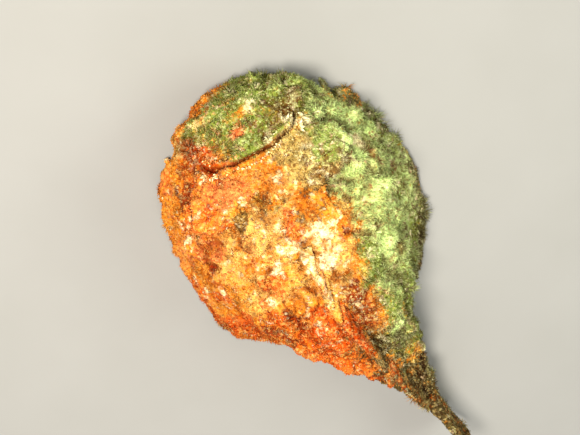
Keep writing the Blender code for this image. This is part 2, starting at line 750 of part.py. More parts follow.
def build():
    for old in list(bpy.data.objects):
        bpy.data.objects.remove(old)

    body = face_outward(add_object("body", *body_surface(AROUND, ALONG, skin)))
    pieces = lips() + [eyelid("lid", 1), eyelid("lid", -1)]
    union(body, pieces)
    body = sliced(body, (0, 0, 0), (0, 0, -1))

    clear = inflated(body, "clear", GAP)
    fins = [
        (pectoral_fin("pectoral_fin_left", 1), ORANGE),
        (pectoral_fin("pectoral_fin_right", -1), OLIVE),
        (pelvic_fin("pelvic_fin_left", 1), RUST),
        (pelvic_fin("pelvic_fin_right", -1), OLIVE),
        (dorsal_spines("dorsal_fin_spiny"), ORANGE),
        (dorsal_rays("dorsal_fin_soft"), RUST),
        (anal_fin("anal_fin"), RUST),
        (caudal_fin("caudal_fin"), RUST),
        (gill_cover("gill_cover_left", 1), ORANGE),
        (gill_cover("gill_cover_right", -1), OLIVE),
    ]
    for fin, _ in fins:
        cut(fin, "DIFFERENCE", clear)
    bpy.data.objects.remove(clear)
    for side in ("left", "right"):
        guard = inflated(bpy.data.objects["pectoral_fin_" + side], "guard", GAP)
        cut(bpy.data.objects["gill_cover_" + side], "DIFFERENCE", guard)
        bpy.data.objects.remove(guard)
    union(body, warts() + lip_fringe() + nostrils())

    head = copy_of(body, "head")
    sliced(head, (0, HEAD_END - GAP / 2, 0), (0, 1, 0))
    trunk = copy_of(body, "trunk")
    sliced(trunk, (0, HEAD_END + GAP / 2, 0), (0, -1, 0))
    tail = copy_of(trunk, "tail")
    sliced(trunk, (0, TRUNK_END - GAP / 2, 0), (0, 1, 0))
    sliced(tail, (0, TRUNK_END + GAP / 2, 0), (0, -1, 0))
    bpy.data.objects.remove(body)

    lower_jaw = copy_of(head, "lower_jaw")
    jaw_block, mouth_block = jaw_tool("jaw_block", 0.0), jaw_tool("mouth_block", GAP)
    cut(lower_jaw, "INTERSECT", jaw_block)
    cut(head, "DIFFERENCE", mouth_block)
    bpy.data.objects.remove(jaw_block)
    bpy.data.objects.remove(mouth_block)

    eyes = []
    for name, side in (("eye_left", 1), ("eye_right", -1)):
        centre, _ = eye_place(side)
        socket = ball("socket", centre, EYE_RADIUS + GAP)
        cut(head, "DIFFERENCE", socket)
        bpy.data.objects.remove(socket)
        eyes.append((ball(name, centre, EYE_RADIUS), EYE_COLOUR))

    nodes = [(head, ORANGE), (lower_jaw, OLIVE), (trunk, ORANGE), (tail, RUST)] + fins + eyes
    place_nodes(nodes)


def place_nodes(nodes):
    """Bends every node, paints it, and stands the fish on the middle of its own footprint."""
    everything = []
    for made, _ in nodes:
        points = np.empty(len(made.data.vertices) * 3, np.float32)
        made.data.vertices.foreach_get("co", points)
        everything.append(bent(points.reshape(-1, 3) / MM) * MM)
    low = np.min([points.min(axis=0) for points in everything], axis=0)
    high = np.max([points.max(axis=0) for points in everything], axis=0)
    fish = bpy.data.objects.new("stonefish", None)
    bpy.context.scene.collection.objects.link(fish)
    fish.location = (-(low[0] + high[0]) / 2, -(low[1] + high[1]) / 2, -low[2])
    for (made, colour), points in zip(nodes, everything):
        centre = (points.min(axis=0) + points.max(axis=0)) / 2
        made.data.vertices.foreach_set("co", (points - centre).astype(np.float32).ravel())
        made.data.update()
        made.location = centre
        made.parent = fish
        made.data.shade_smooth()
        made.data.set_sharp_from_angle(angle=math.radians(50))
        painted(made, made.name, colour, 0.3 if made.name.startswith("eye") else 0.85)


build()
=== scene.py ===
import itertools
import math
import random

import bpy
import numpy as np
from mathutils import Matrix, Vector


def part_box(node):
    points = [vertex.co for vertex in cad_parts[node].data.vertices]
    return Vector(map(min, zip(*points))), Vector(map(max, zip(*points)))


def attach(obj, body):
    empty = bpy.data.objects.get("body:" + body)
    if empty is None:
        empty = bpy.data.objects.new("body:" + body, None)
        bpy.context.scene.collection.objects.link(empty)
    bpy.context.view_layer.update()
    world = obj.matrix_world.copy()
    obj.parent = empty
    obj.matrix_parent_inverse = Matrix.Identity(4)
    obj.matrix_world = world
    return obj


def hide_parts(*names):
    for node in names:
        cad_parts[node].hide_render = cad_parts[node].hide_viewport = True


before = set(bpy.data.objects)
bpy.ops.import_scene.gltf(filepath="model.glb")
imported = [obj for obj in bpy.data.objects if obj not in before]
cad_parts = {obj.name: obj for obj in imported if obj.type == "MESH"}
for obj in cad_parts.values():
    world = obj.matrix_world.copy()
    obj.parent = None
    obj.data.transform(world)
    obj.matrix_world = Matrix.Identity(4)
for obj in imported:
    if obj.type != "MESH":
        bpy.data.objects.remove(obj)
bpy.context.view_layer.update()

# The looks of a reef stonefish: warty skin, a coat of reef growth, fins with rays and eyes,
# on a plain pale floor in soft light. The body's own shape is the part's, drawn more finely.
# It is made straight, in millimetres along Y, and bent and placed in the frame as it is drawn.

MM = 0.001

# Driving sizes of the fish, in millimetres and degrees
BODY_LENGTH = 245.0  # front of the chin to the root of the tail fin
TAIL_FIN_LENGTH = 54.0
BEND_START, BEND_END, BEND_ANGLE = 70.0, 200.0, 10.0  # the tail curves to the right
FLOOR_CLEAR = 0.5  # air under the fins that hang close to the floor

# Body lengthwise: share of the way along the skin, y, half width, top, bottom,
# height of the widest place, and squareness of the section, where 2 is an ellipse
STATIONS = np.array(
    [
        (0.00, -4.0, 0.0, 32.0, 32.0, 32.0, 2.2),
        (0.05, -2.6, 14.0, 43.0, 21.0, 32.0, 2.2),
        (0.10, 1.8, 26.5, 53.5, 11.0, 32.5, 2.25),
        (0.15, 9.3, 36.5, 62.5, 4.2, 33.0, 2.3),
        (0.20, 19.0, 44.0, 70.0, 0.4, 33.0, 2.35),
        (0.26, 33.0, 50.0, 77.5, -1.2, 33.0, 2.4),
        (0.33, 50.0, 54.5, 82.5, -1.6, 32.5, 2.4),
        (0.41, 69.0, 57.0, 85.0, -1.6, 32.0, 2.35),
        (0.49, 90.0, 56.0, 89.0, -1.6, 31.0, 2.2),
        (0.57, 113.0, 51.5, 90.0, -1.6, 30.0, 2.1),
        (0.66, 140.0, 43.0, 84.0, -1.4, 30.0, 2.1),
        (0.75, 168.0, 32.0, 71.0, 0.5, 30.0, 2.1),
        (0.84, 196.0, 21.5, 57.0, 8.0, 30.0, 2.1),
        (0.92, 221.0, 13.0, 46.5, 13.5, 29.5, 2.1),
        (1.00, BODY_LENGTH, 8.0, 42.0, 15.5, 29.0, 2.1),
    ]
)
FACE_SHARE = 0.20  # the rounded face, whose skin is a grid and not rings

# Lumps and hollows: share of the way, degrees from the top, radius, height
EYE_SHARE, EYE_TURN = 0.278, 38.0
RELIEF = [
    (EYE_SHARE, EYE_TURN, 11.5, 11.5),  # bony mound that carries the eye
    (0.245, 66.0, 9.5, -7.5),  # pit below and before the eye
    (0.312, 0.0, 14.0, -7.5),  # saddle between and behind the eyes
    (0.338, 37.0, 9.0, -8.0),  # pit behind the eye
    (0.218, 14.0, 6.0, 2.8),  # knob beside the end of the snout
    (0.365, 16.0, 8.5, 7.5),  # knob on the back of the skull
    (0.465, 16.0, 9.5, 6.0),  # shoulder knob
    (0.30, 86.0, 12.0, 4.5),  # cheek
    (0.36, 66.0, 8.0, 6.0),  # knobs on the edge of the cheek
    (0.36, 98.0, 8.0, 4.0),
    (0.43, 56.0, 9.5, 5.0),  # bony ridge over the gills
    (0.51, 42.0, 9.0, 5.5),  # large warts of the flank
    (0.555, 21.0, 8.5, 5.0),
    (0.585, 57.0, 9.0, 5.5),
    (0.635, 30.0, 8.5, 5.5),
    (0.68, 62.0, 8.0, 5.0),
    (0.73, 34.0, 7.5, 4.5),
    (0.80, 48.0, 7.0, 3.0),
    (0.86, 66.0, 6.0, 2.5),
]

MOUTH_SHARE, MOUTH_TURN, MOUTH_DROP = 0.205, 38.0, 0.020
LIP_RADIUS, LIP_APART = 2.7, 2.6
EYE_RADIUS, EYE_SINK = 5.0, 2.4
WART_COUNT, WART_SPACING, WART_RADIUS, WART_HEIGHT = 40, 15.5, 4.0, 2.7
NOSTRIL_SHARE, NOSTRIL_TURN, NOSTRIL_RADIUS, NOSTRIL_HEIGHT = 0.236, 15.0, 2.0, 3.4
COVER_SHARE, COVER_TURN, COVER_LONG, COVER_TALL = 0.38, 82.0, 0.052, 23.0
PECTORAL_RAYS = 18
PECTORAL_ROOT = [(0.505, 80.0), (0.46, 97.0), (0.40, 110.0), (0.34, 119.0), (0.28, 126.0)]
PECTORAL_EDGE = [
    (39, 178, 19),
    (54, 169, 9),
    (67, 142, 4.5),
    (75, 106, 3.4),
    (74, 70, 3.2),
    (66, 44, 3.0),
    (50, 24, 3.0),
]
PECTORAL_FLARE = {1: 10.0, -1: 3.0}  # how far the hind corner is spread from the flank, left and right
HIND_CORNER, CORNER_WIDTH = 0.36, 0.13  # the corner's place and reach along the edge
PELVIC_RAYS = 6
SPINES, SOFT_RAYS = 13, 6
SPINY_START, SPINY_END, SOFT_END = 80.0, 186.0, 229.0
ANAL_RAYS, ANAL_START, ANAL_END = 8, 181.0, 226.0
CAUDAL_RAYS = 12

# How finely the skin is drawn, and how deep it lies under the tips of its coat
AROUND = 344
RING_PLACES, RING_STEPS = (0.20, 0.225, 0.25, 0.42, 1.0), (0.0018, 0.0020, 0.0034, 0.0038, 0.0045)
COAT_DEPTH = 1.6


def smooth(keys, values, at):
    """A smooth curve through the keys, read at the given places."""
    slopes = np.gradient(values, keys)
    at = np.clip(at, keys[0], keys[-1])
    i = np.clip(np.searchsorted(keys, at, side="right") - 1, 0, len(keys) - 2)
    width = keys[i + 1] - keys[i]
    t = (at - keys[i]) / width
    return (
        (2 * t**3 - 3 * t**2 + 1) * values[i]
        + (t**3 - 2 * t**2 + t) * width * slopes[i]
        + (3 * t**2 - 2 * t**3) * values[i + 1]
        + (t**3 - t**2) * width * slopes[i + 1]
    )


def eased(low, high, at):
    """0 up to low, 1 from high on, and a smooth rise between."""
    t = np.clip((at - low) / (high - low), 0, 1)
    return t * t * (3 - 2 * t)


def unit(vectors):
    return vectors / np.maximum(np.linalg.norm(vectors, axis=-1, keepdims=True), 1e-9)


def loft(share, turn):
    """The plain body without relief. turn is the angle from the top of the back, left side positive."""
    y, wide, top, bottom, middle, square = (
        smooth(STATIONS[:, 0], STATIONS[:, k], share) for k in range(1, 7)
    )
    sine, cosine = np.sin(turn), np.cos(turn)
    side = np.sign(sine) * np.abs(sine) ** (2 / square)
    rise = np.sign(cosine) * np.abs(cosine) ** (2 / square)
    height = np.where(cosine >= 0, top - middle, middle - bottom)
    return np.stack([wide * side, y, middle + height * rise], axis=-1)


def with_normals(surface, share, turn):
    """Points of a surface of (share, turn) and its outward normals."""
    share = np.clip(np.asarray(share, float), 2e-3, 1 - 2e-3)
    turn = np.asarray(turn, float)
    small, little = 1.5e-3, 0.02
    lengthwise = surface(share + small, turn) - surface(share - small, turn)
    across = surface(share, turn + little) - surface(share, turn - little)
    return surface(share, turn), unit(np.cross(across, lengthwise))


def relief(points):
    """How far the lumps stand out, and the hollows sink in, at points of the plain body."""
    amount = np.zeros(points.shape[:-1])
    for share, degrees, radius, height in RELIEF:
        for side in (1, -1) if degrees else (1,):
            centre = loft(np.array(share), np.array(math.radians(degrees) * side))
            away = ((points - centre) ** 2).sum(axis=-1)
            amount = amount + height * np.exp(-away / radius**2)
    return amount


def skin(share, turn):
    """The body with its lumps and hollows."""
    points, normals = with_normals(loft, share, turn)
    return points + normals * relief(points)[..., None]


def bent(points):
    """Straight millimetres to the fish's own curve, whose tail turns to the right."""
    way = np.linspace(0, 320, 641)
    t = np.clip((way - BEND_START) / (BEND_END - BEND_START), 0, 1)
    heading = math.radians(BEND_ANGLE) * t * t * (3 - 2 * t)
    step = way[1] - way[0]
    middle = (heading[1:] + heading[:-1]) / 2
    right = -np.concatenate([[0], np.cumsum(np.sin(middle) * step)])
    back = np.concatenate([[0], np.cumsum(np.cos(middle) * step)])
    x, y = points[:, 0], points[:, 1]
    behind = np.maximum(y, 0)
    turned = np.interp(behind, way, heading)
    return np.stack(
        [
            np.interp(behind, way, right) + x * np.cos(turned),
            np.interp(behind, way, back) + x * np.sin(turned) + np.minimum(y, 0),
            points[:, 2],
        ],
        axis=-1,
    )


def eye_place(side):
    """The middle of an eyeball, on the outer face of its mound."""
    share, turn = EYE_SHARE - 0.006, math.radians(EYE_TURN + 9)
    place, outward = with_normals(skin, np.array(share), np.array(turn))
    centre = place - outward * EYE_SINK
    return centre * np.array([side, 1, 1]), outward * np.array([side, 1, 1])


def mouth_place(way):
    """Share and turn on the mouth's line, for a way from -1 at the right corner to 1 at the left."""
    return MOUTH_SHARE - MOUTH_DROP * np.abs(way) ** 4, np.radians(MOUTH_TURN) * way


def frame_offset():
    """Where the part's own origin lies from the straight body's, read from the left eye's node."""
    low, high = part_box("eye_left")
    centre, _ = eye_place(1)
    return np.array((low + high) / 2) - bent(centre[None])[0] * MM


OFFSET = frame_offset()


# Noise that is the same at each run


def draws(cell, seed):
    """A repeatable number from 0 to 1 for each whole-number cell."""
    cell = cell.astype(np.int64).astype(np.uint32)
    mixed = cell[..., 0] * np.uint32(374761393) + cell[..., 1] * np.uint32(668265263)
    mixed = mixed + cell[..., 2] * np.uint32(2246822519) + np.uint32(seed * 40503 + 977)
    for shift, factor in ((15, 2246822519), (13, 3266489917)):
        mixed = (mixed ^ (mixed >> np.uint32(shift))) * np.uint32(factor)
    return (mixed ^ (mixed >> np.uint32(16))) / 2.0**32


def clouds(points, size, seed):
    """Smooth noise from 0 to 1 whose blotches are about this many millimetres across."""
    at = points / size
    base = np.floor(at)
    t = at - base
    t = t * t * (3 - 2 * t)
    total = np.zeros(points.shape[:-1])
    for corner in itertools.product((0, 1), repeat=3):
        share = np.where(np.array(corner) == 1, t, 1 - t).prod(axis=-1)
        total += share * draws(base + corner, seed)
    return total


def pebbles(points, size, seed):
    """How far the nearest pebble's middle is, in pebble sizes, that pebble's own draw, and the way from it."""
    at = points / size
    base = np.floor(at)
    near, own, way = np.full(points.shape[:-1], 9.0), np.zeros(points.shape[:-1]), np.zeros(points.shape)
    for corner in itertools.product((-1, 0, 1), repeat=3):
        cell = base + corner
        middle = cell + 0.15 + 0.7 * np.stack([draws(cell, seed + k) for k in range(3)], axis=-1)
        away = np.linalg.norm(at - middle, axis=-1)
        closer = away < near
        near = np.where(closer, away, near)
        own = np.where(closer, draws(cell, seed + 3), own)
        way = np.where(closer[..., None], at - middle, way)
    return near, own, way


def bushes(points):
    """Where the growth stands up in small bushes, from 0 to 1, how far out in one, and the way from its middle."""
    near, own, way = pebbles(points, 8.5, 61)
    return eased(0.52, 0.72, own) * eased(0.62, 0.30, near), near, way


# Markings of the coat and skin, as places on the fish

# Tone, share of the way, degrees from the top with the left side positive, radius, strength
MARKINGS = [
    ("cream", 0.405, 9, 4.0, 0.5),  # pale saddle behind the skull
    ("cream", 0.407, 4, 4.5, 0.7),
    ("cream", 0.409, -1, 4.5, 0.8),
    ("cream", 0.422, -3, 4.5, 0.5),
    ("cream", 0.411, -6, 4.5, 0.85),
    ("cream", 0.412, -11, 4.5, 0.8),
    ("cream", 0.414, -16, 4.0, 0.6),
    ("cream", 0.450, -7, 12, 0.30),
    ("cream", 0.480, -2, 9, 0.36),
    ("cream", 0.256, -27, 6, 0.5),
    ("cream", 0.346, 66, 3.6, 1.3),  # spots of pale crust
    ("cream", 0.321, -69, 6, 1.1),
    ("cream", 0.102, -14, 3.4, 1.0),
    ("cream", 0.436, 15, 3.5, 1.0),
    ("cream", 0.510, 29, 3.4, 0.9),
    ("cream", 0.593, 15, 3.6, 0.8),
    ("yellow", 0.408, -4, 13, 0.6),
    ("cream", 0.429, -66, 6, 0.7),
    ("cream", 0.655, 24, 3.0, 0.7),
    ("yellow", 0.346, 11, 11, 1.2),  # left knob of the skull
    ("cream", 0.346, 12, 8, 0.28),
    ("yellow", 0.375, 42, 15, 0.55),
    ("yellow", 0.430, 46, 13, 0.45),
    ("yellow", 0.490, 20, 16, 0.6),
    ("yellow", 0.530, 40, 12, 0.4),
    ("yellow", 0.480, -6, 17, 0.95),
    ("ember", 0.446, 14, 8, 0.4),
    ("yellow", 0.285, -6, 9, 0.7),  # brow of the snout
    ("yellow", 0.235, 5, 8, 0.5),
    ("salmon", 0.250, 18, 11, 0.8),  # snout beside the left eye
    ("salmon", 0.152, 1, 3.6, 1.2),
    ("salmon", 0.400, 56, 10, 0.6),
    ("salmon", 0.265, -12, 9, 0.7),
    ("salmon", 0.600, 16, 7, 0.7),
    ("salmon", 0.660, 8, 7, 0.6),
    ("lime", 0.420, -62, 24, 1.0),  # right flank of the head
    ("lime", 0.255, -66, 13, 0.8),
    ("lime", 0.500, -52, 18, 0.5),
    ("lime", 0.345, -31, 9, 0.9),  # frills behind the right eye
    ("lime", 0.278, -38, 9, -0.7),  # the dull mound of that eye
    ("umber", 0.278, -40, 6, 0.3),
    ("lime", 0.165, -42, 16, -0.6),
    ("umber", 0.165, -42, 14, 0.45),
    ("umber", 0.155, -30, 12, 0.4),
    ("rust", 0.155, 46, 14, -0.5),
    ("umber", 0.155, 46, 14, -0.6),
    ("yellow", 0.160, 42, 12, 0.25),
    ("moss", 0.088, 26, 12, 0.75),
    ("moss", 0.104, 38, 9, 0.4),
    ("moss", 0.150, 62, 8, 0.3),
    ("sand", 0.222, -22, 9, 0.8),
    ("moss", 0.120, 48, 9, 0.45),
    ("moss", 0.120, 76, 10, 0.6),
    ("sand", 0.170, 82, 10, 0.6),
    ("rust", 0.225, 66, 13, 0.4),
    ("ember", 0.275, 66, 13, 0.5),
    ("rust", 0.190, 45, 3.0, 0.8),  # the left corner of the mouth runs out in a red line
    ("rust", 0.188, 51, 3.0, 0.8),
    ("yellow", 0.202, 49, 4.0, 0.8),
    ("rust", 0.366, 52, 12, -0.6),
    ("umber", 0.366, 52, 12, -0.6),
    ("ember", 0.450, 14, 7, 0.4),
    # Darker red and brown on the back towards the tail and on the right rear flank: painted shade where the light falls
    # off
    ("rust", 0.690, 0, 14, 0.5),
    ("brown_and_shade", 0.740, -8, 15, 0.32),
    ("umber", 0.700, 2, 12, 0.45),
    ("umber", 0.760, 2, 13, 0.5),
    ("brown_and_shade", 0.580, -62, 14, 0.32),
    ("cream", 0.337, -35, 5, 0.8),
    ("lime", 0.560, -66, 16, 0.7),
    ("lime", 0.587, -40, 10, 0.6),
    ("lime", 0.724, -28, 10, 0.5),
    ("sand", 0.245, -17, 12, 0.9),  # between the mouth and the right eye
    ("sand", 0.300, -20, 9, 0.8),
    ("sand", 0.395, -28, 9, 0.6),
    ("ember", 0.200, 62, 14, 0.6),  # corner of the mouth
    ("umber", 0.311, -34, 7.0, 1.6),  # painted shade at the foot of the right eye's mound
    ("umber", 0.306, -24, 5.5, 1.4),
    ("umber", 0.315, -45, 5.5, 1.1),
    ("umber", 0.175, 20, 8, 0.35),  # brown turf before the left half of the mouth
    ("umber", 0.150, 38, 8, 0.3),
    ("ember", 0.168, 34, 12, 0.3),
    ("cream", 0.194, -32, 5, 1.2),  # right corner of the mouth
    ("umber", 0.314, 34, 4.5, 0.8),  # painted shade at the foot of the left eye's mound
    ("rust", 0.545, -13, 6, 0.8),  # painted shade in the furrow beside the spines
    ("rust", 0.590, -13, 7, 0.8),
    ("rust", 0.640, -12, 8, 0.8),
    ("umber", 0.705, -10, 12, 0.6),
    ("ember", 0.600, 12, 16, 0.7),
    ("ember", 0.560, 34, 12, 0.5),
    ("rust", 0.262, 72, 8, 0.9),  # painted shade in the pit under the left eye
    ("rust", 0.600, 54, 15, 0.7),
    ("rust", 0.250, 30, 4, 0.4),
    ("rust", 0.252, 24, 11, 0.22),
    ("rust", 0.593, 16, 12, 0.3),
    ("umber", 0.590, -10, 8, 0.4),
    ("rust", 0.372, 20, 6, 0.5),
    ("umber", 0.303, 18, 4, 0.8),  # painted shade in the crease beside the left knob
    ("umber", 0.325, 23, 4, 0.9),
    ("rust", 0.358, 20, 4, 0.7),
    ("moss", 0.335, 1, 7, 0.8),  # green hollow between the knobs
    ("moss", 0.352, -15, 12, -1.3),  # orange that breaks through the green
    ("moss", 0.415, -27, 8, -1.2),
    ("moss", 0.425, -5, 9, -0.8),
    ("moss", 0.480, -14, 10, -0.8),
    ("moss", 0.660, -12, 9, -0.8),
]
TONES = ("moss", "lime", "yellow", "salmon", "ember", "sand", "rust", "umber", "cream", "brown_and_shade", "bare")
# Patches strewn over the whole fish: tone, size, seed, noise where a patch begins and is full, strength
PATCHES = [
    ("moss", 10, 48, 0.62, 0.85, 0.42),
    ("lime", 12, 46, 0.48, 0.78, 0.60),
    ("yellow", 17, 43, 0.48, 0.80, 0.40),
    ("salmon", 14, 42, 0.48, 0.80, 0.55),
    ("ember", 11, 49, 0.50, 0.80, 0.65),
    ("rust", 7, 45, 0.64, 0.86, 0.45),
    ("umber", 8, 47, 0.64, 0.86, 0.42),
    ("cream", 4, 44, 0.62, 0.86, 0.45),
]
# How far to the right of the middle line the green begins, at y along the body
GREEN_FROM = np.array([(-10, 4), (19, 12), (50, 20), (90, 17), (120, 9), (150, 6), (190, 4), (260, 3)], float)


def markings(points, bare=0.0):
    """How much of each tone there is at straight points of the fish, from 0 to 1."""
    x, y, z = points[..., 0], points[..., 1], points[..., 2]
    drift = clouds(points, 17, 40) - 0.5
    warp = np.stack([clouds(points, 6, 80 + k) for k in range(3)], axis=-1) - 0.5
    swirled = points + 6.0 * warp
    right = -x - np.interp(y, GREEN_FROM[:, 0], GREEN_FROM[:, 1])
    chin = eased(21.5, 18.5, y + 0.14 * np.abs(x)) * eased(26, -6, x - 0.25 * z + 12 + 14 * drift)
    green = np.maximum(eased(-17, 18, right + 20 * drift), chin)
    green = green * (1 - 0.5 * eased(0.56, 0.82, clouds(swirled, 15, 50)))
    made = {
        "moss": green,
        "lime": 0.5 * eased(4, 26, right + 10 * drift) * eased(165, 120, y) * (1 - 0.5 * chin),
        "ember": eased(108, 150, y + 30 * drift + 0.2 * x) * 0.7 * (1 - green),
        # Olive brown towards the tail and low on the sides: partly the fish's own brown, partly painted shade where the
        # light falls off
        "brown_and_shade": 0.78 * eased(140, 235, y + 60 * drift - 0.7 * x) + 0.6 * eased(28, 4, z + 16 * drift) * eased(55, 15, x),
        "rust": 0.45 * eased(60, 80, x) * eased(95, 130, y),
        "bare": bare,
    }
    for tone, size, seed, low, high, strength in PATCHES:
        patch = strength * eased(low, high, clouds(swirled, size, seed))
        if tone == "lime":
            patch = patch * green * (1 - 0.6 * chin)
        elif tone in ("salmon", "ember", "yellow"):
            patch = patch * (1 - 0.85 * green)
        made[tone] = made.get(tone, 0.0) + patch
    blob_clouds = 1 + 0.6 * (clouds(points, 4, 41) - 0.5)
    for tone in TONES:
        made[tone] = made.get(tone, 0.0) + np.zeros(points.shape[:-1])
    for tone, share, degrees, radius, strength in MARKINGS:
        centre = skin(np.array(share), np.array(math.radians(degrees)))
        away = np.linalg.norm(swirled - centre, axis=-1) * blob_clouds
        made[tone] = made[tone] + strength * np.exp(-((away / radius) ** 2))
    return {tone: np.clip(made[tone], 0, 1) for tone in TONES}


# The skin


def ring_shares():
    """Where the rings lie: close together round the mouth, wider apart towards the tail."""
    places = [FACE_SHARE]
    while places[-1] < 1:
        places.append(min(1.0, places[-1] + np.interp(places[-1], RING_PLACES, RING_STEPS)))
    return np.array(places)


def face_grid(count):
    """Places on a square grid wrapped on the face: (reach from the middle, turn)."""
    places = []
    for row in range(count + 1):
        for column in range(count + 1):
            p, q = 2 * column / count - 1, 2 * row / count - 1
            reach = max(abs(p), abs(q))
            if reach == 0:
                places.append((0.0, 0.0))
                continue
            p, q = p / reach, q / reach
            if q >= 1 - 1e-9:
                way = p / 2 + 0.5
            elif p >= 1 - 1e-9:
                way = 1.5 - q / 2
            elif q <= -1 + 1e-9:
                way = 2.5 - p / 2
            else:
                way = 3.5 + q / 2
            places.append((reach, (way - 0.5) * math.pi / 2))
    return places


def wart_places():
    """The large warts: the place of each on the body, and its size."""
    draw = random.Random(7)
    kept = []
    clear = [skin(np.array(EYE_SHARE), np.array(math.radians(EYE_TURN) * side)) for side in (1, -1)]
    while len(kept) < WART_COUNT:
        share, degrees = draw.uniform(0.23, 0.93), draw.uniform(15, 94) * draw.choice((1, -1))
        beside_fin = PECTORAL_ROOT[-1][0] - 0.03 < share < PECTORAL_ROOT[0][0] + 0.25
        if beside_fin and abs(degrees) > (54 if abs(share - COVER_SHARE) < 0.08 else 68):
            continue
        place = skin(np.array(share), np.array(math.radians(degrees)))
        size = draw.uniform(0.75, 1.25) * (1.15 - 0.5 * share)
        if any(np.linalg.norm(place - other) < WART_SPACING * size for other in [p for p, _ in kept] + clear):
            continue
        draw.uniform(0, 1)
        kept.append((place, size))
    return kept


def mouth_fold(share, turn, stretch):
    """The lips and the crease between them, and where shade is painted in the crease. stretch is how many millimetres
    one share is.
    """
    turn = np.mod(turn + math.pi, 2 * math.pi) - math.pi
    way = turn / math.radians(MOUTH_TURN)
    line = MOUTH_SHARE - MOUTH_DROP * np.minimum(np.abs(way), 1.2) ** 4
    behind = (share - line) * stretch
    inside = eased(1.14, 1.0, np.abs(way))
    lips = 1.9 * np.exp(-(((np.abs(behind) - 2.6) / 1.9) ** 2))
    return inside * (lips - 4.4 * np.exp(-((behind / 0.8) ** 2))), inside * np.exp(-((behind / 1.1) ** 2))


def cover_plate(share, turn):
    """The gill cover: a raised plate with radiating ridges and a sharp hind edge, and the sunk slit under that edge,
    where shade is painted.
    """
    degrees = np.degrees(np.abs(np.mod(turn + math.pi, 2 * math.pi) - math.pi))
    along, over = (share - COVER_SHARE) / COVER_LONG, (degrees - COVER_TURN) / COVER_TALL
    reach, angle = np.hypot(along, over), np.arctan2(over, along)
    hind = eased(-0.5, 0.5, along)
    edge = eased(1.06, 0.97, reach) * hind + eased(1.15, 0.55, reach) * (1 - hind)
    ridges = 0.5 * np.cos(angle * 9) * eased(0.15, 0.6, reach) * eased(1.0, 0.8, reach)
    return edge * (2.6 + ridges), hind * np.exp(-(((reach - 1.09) / 0.07) ** 2))


def from_eye_axis(points):
    """How far points near the head's top are from the nearer eye's axis."""
    nearest = np.full(points.shape[:-1], 99.0)
    for side in (1, -1):
        centre, outward = eye_place(side)
        away = points - centre
        up = away @ outward
        beside = np.linalg.norm(away - up[..., None] * outward, axis=-1)
        nearest = np.where(np.abs(up) < 16, np.minimum(nearest, beside), nearest)
    return nearest


def from_mouth(points):
    """How far points are from the line between the lips."""
    line, _ = with_normals(skin, *mouth_place(np.linspace(-1, 1, 33)))
    return np.min([np.linalg.norm(points - place, axis=-1) for place in line], axis=0)


